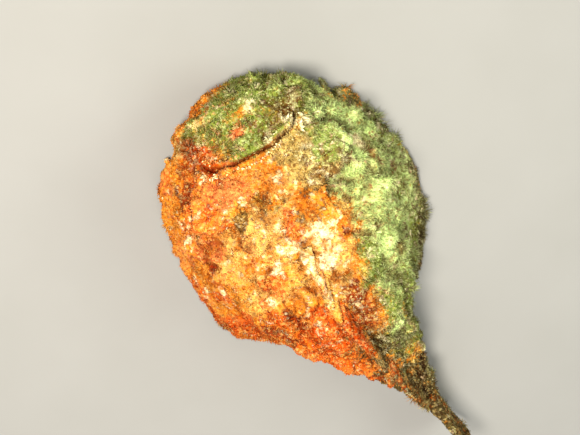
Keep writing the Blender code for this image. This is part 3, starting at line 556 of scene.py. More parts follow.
def body_skin():
    """The whole body's skin with its warts, pits, mouth and gill covers, ready to be drawn and coated."""
    shares = ring_shares()
    rings, count = len(shares), AROUND // 4
    turns = (np.arange(AROUND) / AROUND * 4 - 0.5) * math.pi / 2
    share = np.repeat(shares, AROUND)
    turn = np.tile(turns, rings)
    inner, index = [], {}
    for number, (reach, angle) in enumerate(face_grid(count)):
        if reach > 1 - 1e-9:
            index[number] = round((angle / (math.pi / 2) + 0.5) * AROUND / 4) % AROUND
        else:
            index[number] = rings * AROUND + len(inner)
            inner.append((reach * FACE_SHARE, angle))
    inner = np.array(inner)
    share = np.concatenate([share, inner[:, 0]])
    turn = np.concatenate([turn, inner[:, 1]])

    # Rings: two triangles to each cell, with the unwrap's own column on the seam
    i, j = np.meshgrid(np.arange(rings - 1), np.arange(AROUND), indexing="ij")
    i, j = i.ravel(), j.ravel()
    corners = np.stack([i, j, i, j + 1, i + 1, j + 1, i + 1, j], axis=-1).reshape(-1, 4, 2)
    ring_v = 0.235 + 0.755 * (shares - FACE_SHARE) / (1 - FACE_SHARE)
    quad = corners[..., 0] * AROUND + corners[..., 1] % AROUND
    quad_uv = np.stack([0.01 + 0.98 * corners[..., 1] / AROUND, ring_v[corners[..., 0]]], axis=-1)

    # Face: a grid that the unwrap lays out as a disc
    row, column = np.meshgrid(np.arange(count), np.arange(count), indexing="ij")
    a = (row * (count + 1) + column).ravel()
    cells = np.stack([a, a + 1, a + count + 2, a + count + 1], axis=-1)
    number_of = np.array([index[n] for n in range((count + 1) ** 2)])
    disc = np.array([(r * math.cos(t), r * math.sin(t)) for r, t in face_grid(count)]) * 0.105 + 0.115
    quad = np.concatenate([quad, number_of[cells]])
    quad_uv = np.concatenate([quad_uv, disc[cells]])

    triangles = np.concatenate([quad[:, [0, 1, 2]], quad[:, [0, 2, 3]]])
    uv = np.concatenate([quad_uv[:, [0, 1, 2]], quad_uv[:, [0, 2, 3]]])

    plain, _ = with_normals(loft, share, turn)
    points, outward = with_normals(skin, share, turn)
    stretch = np.linalg.norm(loft(share + 0.004, turn) - loft(share - 0.004, turn), axis=-1) / 0.008
    lips, crease = mouth_fold(share, turn, stretch)
    plate, slit = cover_plate(share, turn)
    low = eased(2, 10, plain[:, 2])
    big = np.zeros(len(points))
    for place, size in wart_places():
        away = np.linalg.norm(points - place, axis=-1) / (WART_RADIUS * size)
        big = np.maximum(big, WART_HEIGHT * size * np.clip(1 - (away / 1.25) ** 2, 0, None))
    lump = 5.8 * (clouds(points, 11, 1) - 0.5) + 3.6 * (clouds(points, 5.5, 2) - 0.5)
    near, own, _ = pebbles(points, 7.0, 3)
    wart = 2.7 * eased(0.3, 0.9, own) * np.clip(1 - (near / 0.62) ** 2, 0, None)
    near, own, _ = pebbles(points, 3.4, 7)
    small = 1.0 * eased(0.15, 0.9, own) * np.clip(1 - (near / 0.6) ** 2, 0, None)
    grain = 0.5 * (clouds(points, 2.0, 11) - 0.5)
    wrinkle = np.exp(-(((clouds(points, 17, 31) - 0.5) / 0.035) ** 2)) * eased(0.42, 0.62, clouds(points, 21, 32))
    depth = COAT_DEPTH * eased(-1, 6, plain[:, 2])
    lift = lump + wart + small + grain + (1.0 + 1.4 * eased(10, 30, -points[:, 0])) * bushes(points)[0]
    beside = from_eye_axis(points)
    socket = 1.7 * np.exp(-(((beside - 6.6) / 2.0) ** 2)) - 5.5 * eased(5.0, 3.4, beside)
    moved = lips + plate - 2.6 * slit + low * (big + lift - 1.8 * wrinkle) - depth + socket
    points = points + outward * moved[:, None]

    # The tail's end is closed by a fan, and the belly lies flat on the floor
    cap = len(points)
    last = (rings - 1) * AROUND + np.arange(AROUND)
    points = np.concatenate([points, points[last].mean(axis=0, keepdims=True)])
    following = np.roll(last, -1)
    triangles = np.concatenate([triangles, np.stack([last, following, np.full(AROUND, cap)], axis=-1)])
    angle = np.linspace(0, 2 * math.pi, AROUND + 1)
    rim = np.stack([0.29 + 0.03 * np.cos(angle), 0.06 + 0.03 * np.sin(angle)], axis=-1)
    middle = np.tile([0.29, 0.06], (AROUND, 1))
    uv = np.concatenate([uv, np.stack([rim[:-1], rim[1:], middle], axis=1)])
    points[:, 2] = np.maximum(points[:, 2], 0.05)

    # Painted shade: darker in the low places and pits, the mouth's crease, the gill slit and the wrinkles; painted
    # highlight: paler on the lumps
    raised = lift + big - 1.2
    rise = relief(plain)
    pit = np.clip(0.40 - 0.13 * raised - 0.03 * rise + 1.2 * crease + slit + 0.7 * wrinkle, 0, 1)
    crown = np.clip(0.12 + 0.10 * raised + 0.03 * rise, 0, 1)
    fields = {"pit": np.append(pit, 0.5), "crown": np.append(crown, 0.0)}
    return surface(points, triangles, uv, fields, bare=np.append(eased(9, 1, plain[:, 2]), 0.0))


def surface(points, triangles, uv, fields, bare=0.0, at=None):
    """A shape to be drawn and coated: its points, faces, unwrap, normals and markings, read at its points or at."""
    a, b, c = (points[triangles[:, k]] for k in range(3))
    facing = np.cross(b - a, c - a)
    normals = np.zeros_like(points)
    for k in range(3):
        for axis in range(3):
            normals[:, axis] += np.bincount(triangles[:, k], facing[:, axis], len(points))
    tones = markings(points if at is None else at, bare)
    # Less painted shade where the pale crust lies
    pit = fields["pit"] * (1 - 0.6 * tones["cream"])
    return {
        "points": points,
        "triangles": triangles,
        "uv": uv,
        "normals": unit(normals),
        "area": np.linalg.norm(facing, axis=-1) / 2,
        "fields": {**tones, **fields, "pit": pit},
    }


def joined(shapes):
    """Several shapes as one; each keeps its own closed surface."""
    start, triangles = 0, []
    for shape in shapes:
        triangles.append(shape["triangles"] + start)
        start += len(shape["points"])
    whole = {key: np.concatenate([shape[key] for shape in shapes]) for key in ("points", "uv", "normals", "area")}
    whole["triangles"] = np.concatenate(triangles)
    names = shapes[0]["fields"]
    whole["fields"] = {name: np.concatenate([shape["fields"][name] for shape in shapes]) for name in names}
    return whole


# Drawing


def draw_piece(name, shape, material, replaced=()):
    """Bends a shape into the frame and makes the piece that rides on the fish."""
    mesh = bpy.data.meshes.new(name)
    points = bent(shape["points"]) * MM + OFFSET
    triangles = shape["triangles"]
    mesh.vertices.add(len(points))
    mesh.vertices.foreach_set("co", points.astype(np.float32).ravel())
    mesh.loops.add(triangles.size)
    mesh.loops.foreach_set("vertex_index", triangles.astype(np.int32).ravel())
    mesh.polygons.add(len(triangles))
    mesh.polygons.foreach_set("loop_start", np.arange(0, triangles.size, 3, dtype=np.int32))
    mesh.update(calc_edges=True)
    mesh.shade_smooth()
    unwrap = mesh.uv_layers.new(name="OFBake")
    unwrap.data.foreach_set("uv", shape["uv"].astype(np.float32).ravel())
    for field, values in shape["fields"].items():
        layer = mesh.attributes.new(field, "FLOAT", "POINT")
        layer.data.foreach_set("value", values.astype(np.float32))
    mesh.materials.append(material)
    piece = bpy.data.objects.new(name, mesh)
    bpy.context.scene.collection.objects.link(piece)
    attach(piece, "root")
    if replaced:
        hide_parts(*replaced)
    return piece


# The coat: closed tapered strands and beads, each rooted in the skin


def scattered(shape, weight, count, draw):
    """Roots strewn on a shape by area and weight, with the shape's normals, unwrap and markings there."""
    triangles = shape["triangles"]
    chance = shape["area"] * weight[triangles].mean(axis=1)
    total = np.cumsum(chance)
    which = np.searchsorted(total, draw.random(count) * total[-1])
    p, q = draw.random(count), draw.random(count)
    over = p + q > 1
    p, q = np.where(over, 1 - p, p), np.where(over, 1 - q, q)
    share = np.stack([1 - p - q, p, q], axis=-1)
    corners = triangles[which]
    mixed = lambda values: (values[corners] * share.reshape(share.shape + (1,) * (values.ndim - 1))).sum(axis=1)
    return {
        "points": mixed(shape["points"]),
        "normals": unit(mixed(shape["normals"])),
        "uv": (shape["uv"][which] * share[..., None]).sum(axis=1),
        "fields": {name: mixed(values) for name, values in shape["fields"].items()},
    }


PATCH = 0.0015  # half the width of a strand's own patch in the unwrap


def strands(roots, length, radius, knee, lean, heading, draw, sides=3, floor=0.12):
    """Closed strands with a foot sunk in the skin, a knee and a tip; a short plump one is a bead.

    length, radius, knee (its radius against the foot's), lean and the heading that it leans to
    hold one value for each strand.
    """
    foot, outward = roots["points"], roots["normals"]
    count = len(foot)
    lie = unit(heading - outward * (heading * outward).sum(axis=-1, keepdims=True))
    rise = unit(outward + lie * lean[:, None])
    bow = unit(rise + lie * (0.9 * lean + 0.1)[:, None] + draw.normal(0, 0.22, (count, 3)))
    first = unit(np.cross(outward, lie))
    second = np.cross(outward, first)
    middle = foot + rise * (length * 0.5)[:, None]
    spin = draw.random(count) * 2 * math.pi
    points = np.empty((count, 2 * sides + 1, 3))
    patch = np.empty((count, 2 * sides + 1, 2))
    for k in range(sides):
        angle = spin + 2 * math.pi * k / sides
        spoke = first * np.cos(angle)[:, None] + second * np.sin(angle)[:, None]
        points[:, k] = foot - outward * (0.35 * radius + 0.25)[:, None] + spoke * radius[:, None]
        points[:, sides + k] = middle + spoke * (radius * knee)[:, None]
        around = np.array([math.cos(2 * math.pi * k / sides), math.sin(2 * math.pi * k / sides)])
        patch[:, k] = roots["uv"] + around * PATCH
        patch[:, sides + k] = roots["uv"] + around * PATCH * 0.6
    points[:, 2 * sides] = middle + bow * (length * 0.5)[:, None]
    patch[:, 2 * sides] = roots["uv"]
    points[..., 2] = np.maximum(points[..., 2], floor)
    faces = [(0, k + 2, k + 1) for k in range(sides - 2)]
    for k in range(sides):
        n = (k + 1) % sides
        faces += [(k, n, sides + n), (k, sides + n, sides + k), (sides + k, sides + n, 2 * sides)]
    faces = np.array(faces)
    start = np.arange(count)[:, None, None] * (2 * sides + 1)
    triangles = (faces[None] + start).reshape(-1, 3)
    uv = patch[:, faces].reshape(-1, 3, 2)
    spread = lambda values: np.repeat(values, 2 * sides + 1)
    fields = {name: spread(values) for name, values in roots["fields"].items()}
    fields["tip"] = np.tile([0.0] * sides + [0.55] * sides + [1.0], count)
    fields["own"] = spread(draw.random(count))
    return {"points": points.reshape(-1, 3), "triangles": triangles, "uv": uv, "fields": fields}


def chosen(roots, keep):
    """Only some of the roots."""
    fields = {name: values[keep] for name, values in roots["fields"].items()}
    return {**{key: roots[key][keep] for key in ("points", "normals", "uv")}, "fields": fields}


MOST_STRANDS = 18500  # in one piece of coat, which keeps it under 200,000 triangles


def draw_coat(name, shape, count, weight, turf, seed, scale=1.0, beads=0.0):
    """Covers a shape with strands, and with beads where asked, in pieces from the chin to the tail."""
    draw = np.random.default_rng(seed)
    roots = scattered(shape, weight, count, draw)
    fields = roots["fields"]
    rim = fields.pop("rim", 0.0)
    points = roots["points"]
    tuft = eased(0.50, 0.82, clouds(points, 5.0, 60))
    bush, reach, way = bushes(points)
    flow = np.stack([clouds(points, 8, 70 + k) for k in range(3)], axis=-1) - 0.5
    heading = np.array([0.0, 0.6, -0.15]) + 3.2 * flow + draw.normal(0, 0.45, (count, 3)) + 9.0 * way * bush[:, None]
    green = np.maximum(fields["moss"], fields["lime"]) * (1 - fields["umber"])
    green = green * (1 - 0.7 * eased(14, 8, from_eye_axis(points)))
    low = eased(0.0, 7.0, points[:, 2])
    long_ones = 0.9 + 0.9 * tuft + 1.1 * bush + green * (0.5 + 1.8 * tuft + 2.2 * bush)
    long_ones = scale * np.minimum(long_ones, 4.5) * (1 + 0.9 * rim) * (0.35 + 0.65 * eased(2.0, 6.0, from_mouth(points)))
    length = long_ones * draw.uniform(0.5, 1.3, count) * (0.6 + 0.4 * low)
    radius = scale**0.5 * draw.uniform(0.13, 0.21, count) * (1 + 0.6 * (1 - green))
    knee = draw.uniform(0.6, 0.95, count)
    lean = draw.uniform(0.25, 1.1, count) * (1 - bush) + (0.15 + 1.6 * reach) * bush + 0.5 * (1 - low)
    bead = draw.random(count) < beads * (1 - 0.75 * green)
    length = np.where(bead, draw.uniform(0.5, 1.15, count) * scale, length)
    radius = np.where(bead, draw.uniform(0.36, 0.72, count) * scale**0.5, radius)
    knee = np.where(bead, 1.0, knee)
    order = np.argsort(points[:, 1])
    for number, part in enumerate(np.array_split(order, math.ceil(count / MOST_STRANDS))):
        own = [values[part] for values in (length, radius, knee, lean, heading)]
        made = strands(chosen(roots, part), *own, draw)
        draw_piece("%s_%d" % (name, number + 1), made, turf)


# Fins


def ray_wave(count, per_ray):
    """Places across a fin from 0 to 1, and 1 on each ray, falling to 0 between rays."""
    places = np.linspace(0, 1, (count - 1) * per_ray + 1)
    return places, 0.5 + 0.5 * np.cos(2 * math.pi * places * (count - 1))


def through(points, places):
    """A smooth line through named points, read at places from 0 to 1."""
    points = np.asarray(points, float)
    keys = np.linspace(0, 1, len(points))
    return np.stack([smooth(keys, points[:, k], places) for k in range(3)], axis=-1)


def blade(middle, half, side=1):
    """A closed thin shape about a grid of middle points, with half its thickness at each."""
    rows, columns = middle.shape[:2]
    normal = unit(np.cross(np.gradient(middle, axis=0), np.gradient(middle, axis=1)))
    over, under = middle + normal * half[..., None], middle - normal * half[..., None]
    points = np.concatenate([over.reshape(-1, 3), under.reshape(-1, 3)])
    low = rows * columns
    r, c = np.meshgrid(np.arange(rows - 1), np.arange(columns - 1), indexing="ij")
    a = (r * columns + c).ravel()
    b, d, e = a + 1, a + columns, a + columns + 1
    faces = [np.stack(f, -1) for f in ((a, b, e), (a, e, d))]
    faces += [np.stack(f, -1) + low for f in ((a, e, b), (a, d, e))]
    rim = list(range(columns))
    rim += [row * columns + columns - 1 for row in range(1, rows)]
    rim += [(rows - 1) * columns + column for column in range(columns - 2, -1, -1)]
    rim += [row * columns for row in range(rows - 2, 0, -1)]
    rim = np.array(rim)
    following = np.roll(rim, -1)
    faces += [np.stack(f, -1) for f in ((rim, rim + low, following + low), (rim, following + low, following))]
    triangles = np.concatenate(faces)

    # The two sides lie side by side in the unwrap, and the rim on a line between them
    across, along = np.meshgrid(np.linspace(0, 1, columns), np.linspace(0, 1, rows))
    flat = np.stack([0.01 + 0.47 * across, 0.01 + 0.98 * along], axis=-1).reshape(-1, 2)
    place = np.concatenate([flat, flat + [0.51, 0.0]])
    uv = place[triangles]
    edge = slice(len(triangles) - 2 * len(rim), None)
    uv[edge] = np.clip(uv[edge, :1], 0, 1) + np.array([[0, 0], [0.002, 0], [0.002, 0.002]])
    centre = points.mean(axis=0)
    a, b, c = (points[triangles[:, k]] - centre for k in range(3))
    if (np.cross(a, b) * c).sum() < 0:
        triangles, uv = triangles[:, ::-1], uv[:, ::-1]
    if side < 0:
        points = points * np.array([-1, 1, 1])
        triangles, uv = triangles[:, ::-1], uv[:, ::-1]
    return points, triangles, uv


def fin_shape(middle, half, wave, t, side=1, rough=1.0, sunk=0.0):
    """A finished fin: its blade roughened by warts, with painted shade between the rays, towards the root and in
    blotches, and a painted highlight between the blotches.

    sunk is how far down towards its root a fin's place is taken to be for its markings.
    """
    grain = 0.35 * (clouds(middle, 2.2, 20) - 0.5) + 0.6 * (clouds(middle, 5.0, 21) - 0.5)
    grain = rough * (grain + 0.9 * (clouds(middle, 10.0, 23) - 0.5))
    half = np.maximum(half * (1 + 0.35 * (clouds(middle, 3.0, 22) - 0.5)), 0.3)
    normal = unit(np.cross(np.gradient(middle, axis=0), np.gradient(middle, axis=1)))
    middle = middle + normal * grain[..., None]
    middle[..., 2] = np.maximum(middle[..., 2], half + FLOOR_CLEAR)
    points, triangles, uv = blade(middle, half, side)
    # Painted shade between the rays, towards the root and in random blotches, and painted highlight where the blotches
    # are light
    hollow = clouds(middle, 6.0, 24)
    pit = np.clip(0.20 + 0.5 * hollow - 0.15 * wave + 0.25 * (1 - t), 0, 1)
    crown = np.clip(0.9 - 1.4 * hollow, 0, 1)
    fields = {"pit": np.tile(pit.ravel(), 2), "crown": np.tile(crown.ravel(), 2)}
    at = points + sunk * (np.tile(middle[0], (2 * len(middle), 1)) - points)
    return surface(points, triangles, uv, fields, at=at), np.tile((t + 0 * wave).ravel(), 2)


def pectoral_fin(side):
    """The broad fan that lies round the flank like a skirt, with its edge on the floor."""
    across, wave = ray_wave(PECTORAL_RAYS, 8)
    roots = np.array(PECTORAL_ROOT)
    keys = np.linspace(0, 1, len(roots))
    share = smooth(keys, roots[:, 0], across)
    turn = np.radians(smooth(keys, roots[:, 1], across))
    root, outward = with_normals(skin, share, turn)
    root = root - outward * 3.5
    corner = PECTORAL_FLARE[side] * np.exp(-(((across - HIND_CORNER) / CORNER_WIDTH) ** 2))
    edge = through(PECTORAL_EDGE, across) + corner[:, None] * np.array([1.0, 0.3, 0.0])
    reach = unit(edge - root)
    torn = clouds(edge + 200.0 * side, 6, 25)[:, None] + 1.3 * clouds(edge + 90.0 * side, 15, 26)[:, None]
    edge = edge + reach * ((wave[:, None] - 1) * 0.8 - 5.0 * torn + 2.2)
    arched = np.clip(0.3 + 2.5 * across, 0, 1)[:, None]
    crown = (root + edge) / 2 + (outward * 7.0 + np.array([0, 0, 8.0])) * arched
    t = np.linspace(0, 1, 44)[:, None, None]
    middle = (1 - t) ** 2 * root + 2 * t * (1 - t) * crown + t**2 * edge
    t = t[..., 0]
    half = (2.9 * (1 - t) + 0.8 * t) * (0.86 + 0.14 * wave * (0.4 + 0.6 * t))
    return fin_shape(middle, half, wave, t, side, rough=3.0)


def pelvic_fin(side):
    """The short fan under the belly's side, flat above the floor."""
    across, wave = ray_wave(PELVIC_RAYS, 8)
    root = through([(27, 96, 6.5), (22, 84, 5.5), (19, 70, 5.0)], across)
    edge = through([(33, 128, 2.4), (45, 118, 2.2), (50, 96, 2.2), (45, 74, 2.2)], across)
    edge = edge + unit(edge - root) * (wave[:, None] - 1) * 2.5
    t = np.linspace(0, 1, 24)[:, None, None]
    middle = root * (1 - t) + edge * t
    t = t[..., 0]
    half = (2.2 * (1 - t) + 0.7 * t) * (0.75 + 0.3 * wave)
    return fin_shape(middle, half, wave, t, side)


def back_line(y):
    """Share of the way along the skin where the body is at this y."""
    shares = np.linspace(FACE_SHARE, 1, 400)
    return np.interp(y, smooth(STATIONS[:, 0], STATIONS[:, 1], shares), shares)


def dorsal_spines():
    """The spiny fin: thick warty sheaths that lean back, joined by low skin."""
    across, wave = ray_wave(SPINES, 12)
    y = SPINY_START + (SPINY_END - SPINY_START) * across
    root = skin(back_line(y), np.zeros_like(y))
    tall = (9.0 + 5.0 * np.sin(math.pi * np.minimum(across * 1.1 + 0.1, 1))) * (0.45 + 0.55 * wave**1.5)
    lean = np.array([0, math.sin(math.radians(50)), math.cos(math.radians(50))])
    sway = 0.8 + 2.0 * np.sin(across * 8.0) + np.sin(across * 37.0)
    t = np.linspace(0, 1, 26)[:, None]
    middle = root[None] + (t * tall - 6.0 * (1 - t))[..., None] * lean
    middle[..., 0] += t * sway
    half = (3.4 * (1 - t) + 1.7 * t) * (0.5 + 0.62 * wave) * np.sqrt(1 - 0.8 * t**4)
    return fin_shape(middle, half, wave, t, sunk=0.8)


def dorsal_rays():
    """The soft fin behind the spines, lying back over the tail."""
    across, wave = ray_wave(SOFT_RAYS, 10)
    y = SPINY_END + 3 + (SOFT_END - SPINY_END - 3) * across
    root = skin(back_line(y), np.zeros_like(y))
    tall = (19.0 - 5.0 * across) * (0.82 + 0.18 * wave)
    lean = np.array([0, math.sin(math.radians(48)), math.cos(math.radians(48))])
    t = np.linspace(0, 1, 26)[:, None]
    middle = root[None] + (t * tall - 5.0 * (1 - t))[..., None] * lean
    middle[..., 0] += t * 3.0
    half = (2.4 * (1 - t) + 0.8 * t) * (0.66 + 0.38 * wave)
    return fin_shape(middle, half, wave, t, sunk=0.5)


def anal_fin():
    """The low fin under the tail, folded back above the floor."""
    across, wave = ray_wave(ANAL_RAYS, 8)
    y = ANAL_START + (ANAL_END - ANAL_START) * across
    root = skin(back_line(y), np.full_like(y, math.pi))
    tall = np.maximum(root[:, 2] - (2.2 + 2.0 * across), 2.5) * (0.85 + 0.15 * wave)
    t = np.linspace(0, 1, 20)[:, None]
    middle = root[None] + (t * tall - 4.0 * (1 - t))[..., None] * np.array([0.0, 0.9, -1.0])
    half = (2.0 * (1 - t) + 0.7 * t) * (0.70 + 0.34 * wave)
    return fin_shape(middle, half, wave, t)


def caudal_fin():
    """The rounded tail fin, a little folded, its lower edge just above the floor."""
    across, wave = ray_wave(CAUDAL_RAYS, 10)
    spread = np.radians(25.0 - 50.0 * across)
    root_z = 40.5 - 24.0 * across
    reach = TAIL_FIN_LENGTH * (0.86 + 0.14 * np.sin(math.pi * across)) * (0.955 + 0.045 * wave)
    t = np.linspace(0, 1, 44)[:, None]
    along = BODY_LENGTH - 5.0 + t * (reach * np.cos(spread) + 5.0)
    rise = root_z + t * reach * np.sin(spread)
    half = (3.6 * (1 - t) ** 1.5 + 0.8) * (0.68 + 0.36 * wave)
    sway = 2.2 * np.sin(across * 9.0) * t
    middle = np.stack([sway + 0 * along, along, np.maximum(rise, FLOOR_CLEAR + 1.0)], axis=-1)
    return fin_shape(middle, half, wave, t)


# Small forms of the head


def turned_shape(profile, place, outward, sides, patch):
    """A closed turned form on the skin: (radius, height) from its foot up and down its bore."""
    first = unit(np.cross(outward, np.array([0.3, 0.2, 1.0])))
    second = np.cross(outward, first)
    angle = 2 * math.pi * np.arange(sides) / sides
    spoke = first * np.cos(angle)[:, None] + second * np.sin(angle)[:, None]
    rings = [place + outward * height + spoke * radius for radius, height in profile]
    points = np.concatenate(rings + [place[None] + outward * h for h in (profile[0][1], profile[-1][1])])
    foot, top = len(profile) * sides, len(profile) * sides + 1
    k = np.arange(sides)
    n = (k + 1) % sides
    faces = [np.stack([n, k, np.full(sides, foot)], -1)]
    for row in range(len(profile) - 1):
        a = row * sides
        faces += [np.stack([a + k, a + n, a + sides + n], -1), np.stack([a + k, a + sides + n, a + sides + k], -1)]
    a = (len(profile) - 1) * sides
    faces.append(np.stack([a + k, a + n, np.full(sides, top)], -1))
    triangles = np.concatenate(faces)
    reach = np.repeat(np.linspace(1, 0.1, len(profile)), sides) * 0.03
    flat = np.stack([reach * np.cos(np.tile(angle, len(profile))), reach * np.sin(np.tile(angle, len(profile)))], -1)
    flat = np.concatenate([flat, [[0.0, 0.0], [0.0, 0.0]]]) + patch
    # Even fields: no painted shade and a slight painted highlight
    fields = {"pit": np.full(len(points), 0.3), "crown": np.full(len(points), 0.4)}
    return surface(points, triangles, flat[triangles], fields)


def nostrils():
    """A short fleshy tube on each side of the snout."""
    made = []
    for side in (1, -1):
        place, outward = with_normals(skin, np.array(NOSTRIL_SHARE), np.array(math.radians(NOSTRIL_TURN) * side))
        tall, wide = NOSTRIL_HEIGHT - COAT_DEPTH * 0.5, NOSTRIL_RADIUS
        profile = [(wide * 1.4, -4.0), (wide * 1.15, 0.0), (wide * 0.9, tall * 0.6), (wide * 0.95, tall)]
        profile += [(wide * 0.75, tall + 0.2), (wide * 0.5, tall), (wide * 0.42, 0.8)]
        shape = turned_shape(profile, place, outward, 24, np.array([0.45 + 0.08 * side, 0.08]))
        # The bottom of the bore is dark: painted shade inside the tube
        shape["fields"]["pit"][-26:] = 1.0
        made.append(shape)
    return made


LID_RADIUS = 1.35


def eyelids():
    """A thick rim of skin round each eye, fullest above, that leaves a low opening."""
    made = []
    for side in (1, -1):
        centre, outward = eye_place(side)
        across = unit(np.cross(outward, np.array([0.0, 0.0, 1.0])))
        up = np.cross(across, outward)
        up = up * np.sign(up[2])
        ring, sides = 72, 18
        angle = 2 * math.pi * np.arange(ring) / ring
        around = 2 * math.pi * np.arange(sides) / sides
        reach = 4.3 - 0.9 * np.abs(np.sin(angle))
        spoke = across * np.cos(angle)[:, None] + up * np.sin(angle)[:, None]
        thick = LID_RADIUS * (1 + 0.35 * np.sin(angle) + 0.12 * np.sin(angle * 9))
        height = np.sqrt(np.maximum((EYE_RADIUS + 0.2) ** 2 - reach**2, 0))
        middle = centre + spoke * (reach + thick * 0.55)[:, None] + outward * height[:, None]
        points = (
            middle[:, None]
            + spoke[:, None] * (thick[:, None] * np.cos(around))[..., None]
            + outward * (thick[:, None] * np.sin(around))[..., None]
        ).reshape(-1, 3)
        i, k = (g.ravel() for g in np.meshgrid(np.arange(ring), np.arange(sides), indexing="ij"))
        n, m = (i + 1) % ring, (k + 1) % sides
        quad = np.stack([i * sides + k, i * sides + m, n * sides + m, n * sides + k], -1)
        spot = np.array([0.66 + 0.12 * side, 0.02])
        cell = np.stack([np.stack([u / ring, v / sides], -1) for u, v in ((i, k), (i, k + 1), (i + 1, k + 1), (i + 1, k))], 1)
        cell = cell * np.array([0.2, 0.15]) + spot
        triangles = np.concatenate([quad[:, [0, 1, 2]], quad[:, [0, 2, 3]]])
        uv = np.concatenate([cell[:, [0, 1, 2]], cell[:, [0, 2, 3]]])
        a, b, c = (points[triangles[:, j]] - centre for j in range(3))
        if (np.cross(a, b) * c).sum() < 0:
            triangles, uv = triangles[:, ::-1], uv[:, ::-1]
        # Even fields: a little painted shade and a slight painted highlight
        fields = {"pit": np.full(len(points), 0.35), "crown": np.full(len(points), 0.4)}
        made.append(surface(points, triangles, uv, fields))
    return made


def lip_fringe():
    """Roots for the fleshy points along both lips, longest at the middle."""
    draw = np.random.default_rng(11)
    made = []
    for count, offset, scale in ((150, 3.4, 1.0), (90, -3.4, 0.7)):
        way = np.linspace(-1.0, 1.0, count) + draw.normal(0, 0.006, count)
        place, outward = with_normals(skin, *mouth_place(way))
        behind = unit(np.cross(np.gradient(place, axis=0), outward))
        behind = behind * np.sign(behind[:, 1:2] + behind[:, 2:3])
        root = place + behind * (offset + draw.normal(0, 0.6, count))[:, None] + outward * 0.6
        lean = behind * np.sign(offset) * draw.uniform(-0.3, 0.9, count)[:, None]
        size = scale * draw.uniform(0.4, 1.2, count) * (1 - 0.35 * np.abs(way) + 1.0 * eased(-0.6, -0.95, way))
        made.append((root, unit(outward + lean), size))
    return [np.concatenate(parts) for parts in zip(*made)]


def fringe_shape():
    """The fringe of the lips as plump pale strands."""
    root, outward, size = lip_fringe()
    draw = np.random.default_rng(12)
    fields = markings(root)
    pale = draw.random(len(root)) < 0.75 - 0.5 * eased(0, 22, root[:, 0])
    fields["cream"] = np.where(pale, 1.0, fields["cream"])
    # Little painted shade and a slight painted highlight on the fringe
    fields["pit"], fields["crown"] = np.full(len(root), 0.1), np.full(len(root), 0.6)
    share = (root[:, 1] - STATIONS[0, 1]) / BODY_LENGTH
    uv = np.stack([0.115 + 0.0016 * root[:, 0], 0.2 + 0.2 * share], axis=-1)
    roots = {"points": root, "normals": outward, "uv": uv, "fields": fields}
    count = len(root)
    knee, lean = draw.uniform(0.8, 1.2, count), draw.uniform(0, 0.4, count)
    heading = np.array([0.0, 1.0, -0.15]) + draw.normal(0, 0.75, (count, 3))
    return strands(roots, 3.4 * size, 0.55 * size + 0.15, knee, lean, heading, draw)


def eyeball(side):
    """The eye: a ball with a clear bulge over the iris."""
    centre, outward = eye_place(side)
    first = unit(np.cross(outward, np.array([0.0, 0.0, 1.0])))
    second = np.cross(outward, first)
    rings, sides = 40, 64
    polar = np.linspace(0, math.pi, rings + 1)[1:-1]
    angle = 2 * math.pi * np.arange(sides) / sides
    bulge = 1 + 0.05 * eased(0.9, 0.2, polar)
    radius = EYE_RADIUS * 0.985 * bulge
    spoke = first * np.cos(angle)[:, None] + second * np.sin(angle)[:, None]
    rows = outward * (radius * np.cos(polar))[:, None, None] + spoke * (radius * np.sin(polar))[:, None, None]
    ends = np.stack([outward * radius[0], -outward * radius[-1]])
    points = centre + np.concatenate([rows.reshape(-1, 3), ends])
    top, foot = (rings - 1) * sides, (rings - 1) * sides + 1
    k = np.arange(sides)
    n = (k + 1) % sides
    faces = [np.stack([k, n, np.full(sides, top)], -1)[:, ::-1]]
    for row in range(rings - 2):
        a = row * sides
        faces += [np.stack([a + k, a + sides + n, a + n], -1)[:, ::-1], np.stack([a + k, a + sides + k, a + sides + n], -1)[:, ::-1]]
    a = (rings - 2) * sides
    faces.append(np.stack([a + n, a + k, np.full(sides, foot)], -1)[:, ::-1])
    triangles = np.concatenate(faces)
    p, q, r = (points[triangles[:, j]] - centre for j in range(3))
    if (np.cross(p, q) * r).sum() < 0:
        triangles = triangles[:, ::-1]
    flat = np.concatenate([(spoke @ np.stack([first, second], -1))[None] * (polar / math.pi * 0.48)[:, None, None]], 0)
    place = np.concatenate([flat.reshape(-1, 2), [[0, 0], [0.48, 0]]]) + 0.5
    fields = {"polar": np.concatenate([np.repeat(polar, sides), [0.0, math.pi]]), "round": np.concatenate([np.tile(angle, rings - 1), [0, 0]])}
    return {"points": points, "triangles": triangles, "uv": place[triangles], "fields": fields}


# Materials


def linear(code):
    """An sRGB hex colour as linear red, green, blue and full alpha."""
    parts = [int(code[k : k + 2], 16) / 255 for k in (1, 3, 5)]
    return tuple(c / 12.92 if c <= 0.04045 else ((c + 0.055) / 1.055) ** 2.4 for c in parts) + (1.0,)


def per_metre(millimetres):
    """The scale of a pattern whose blotches are this wide."""
    return 1000.0 / millimetres


def add(tree, kind, inputs, **settings):
    """Adds a node with its settings; an input is a plain value, or a node whose first output, or a socket, feeds it."""
    made = tree.nodes.new(kind)
    for key, value in settings.items():
        setattr(made, key, value)
    for key, value in inputs.items():
        if isinstance(value, bpy.types.Node):
            value = next(s for s in value.outputs if s.enabled)
        if isinstance(value, bpy.types.NodeSocket):
            tree.links.new(value, made.inputs[key])
        else:
            made.inputs[key].default_value = value
    return made


def new_material(name):
    """An empty node tree with a Principled shader on its output."""
    material = bpy.data.materials.new(name)
    material.use_nodes = True
    tree = material.node_tree
    return material, tree, tree.nodes["Principled BSDF"]


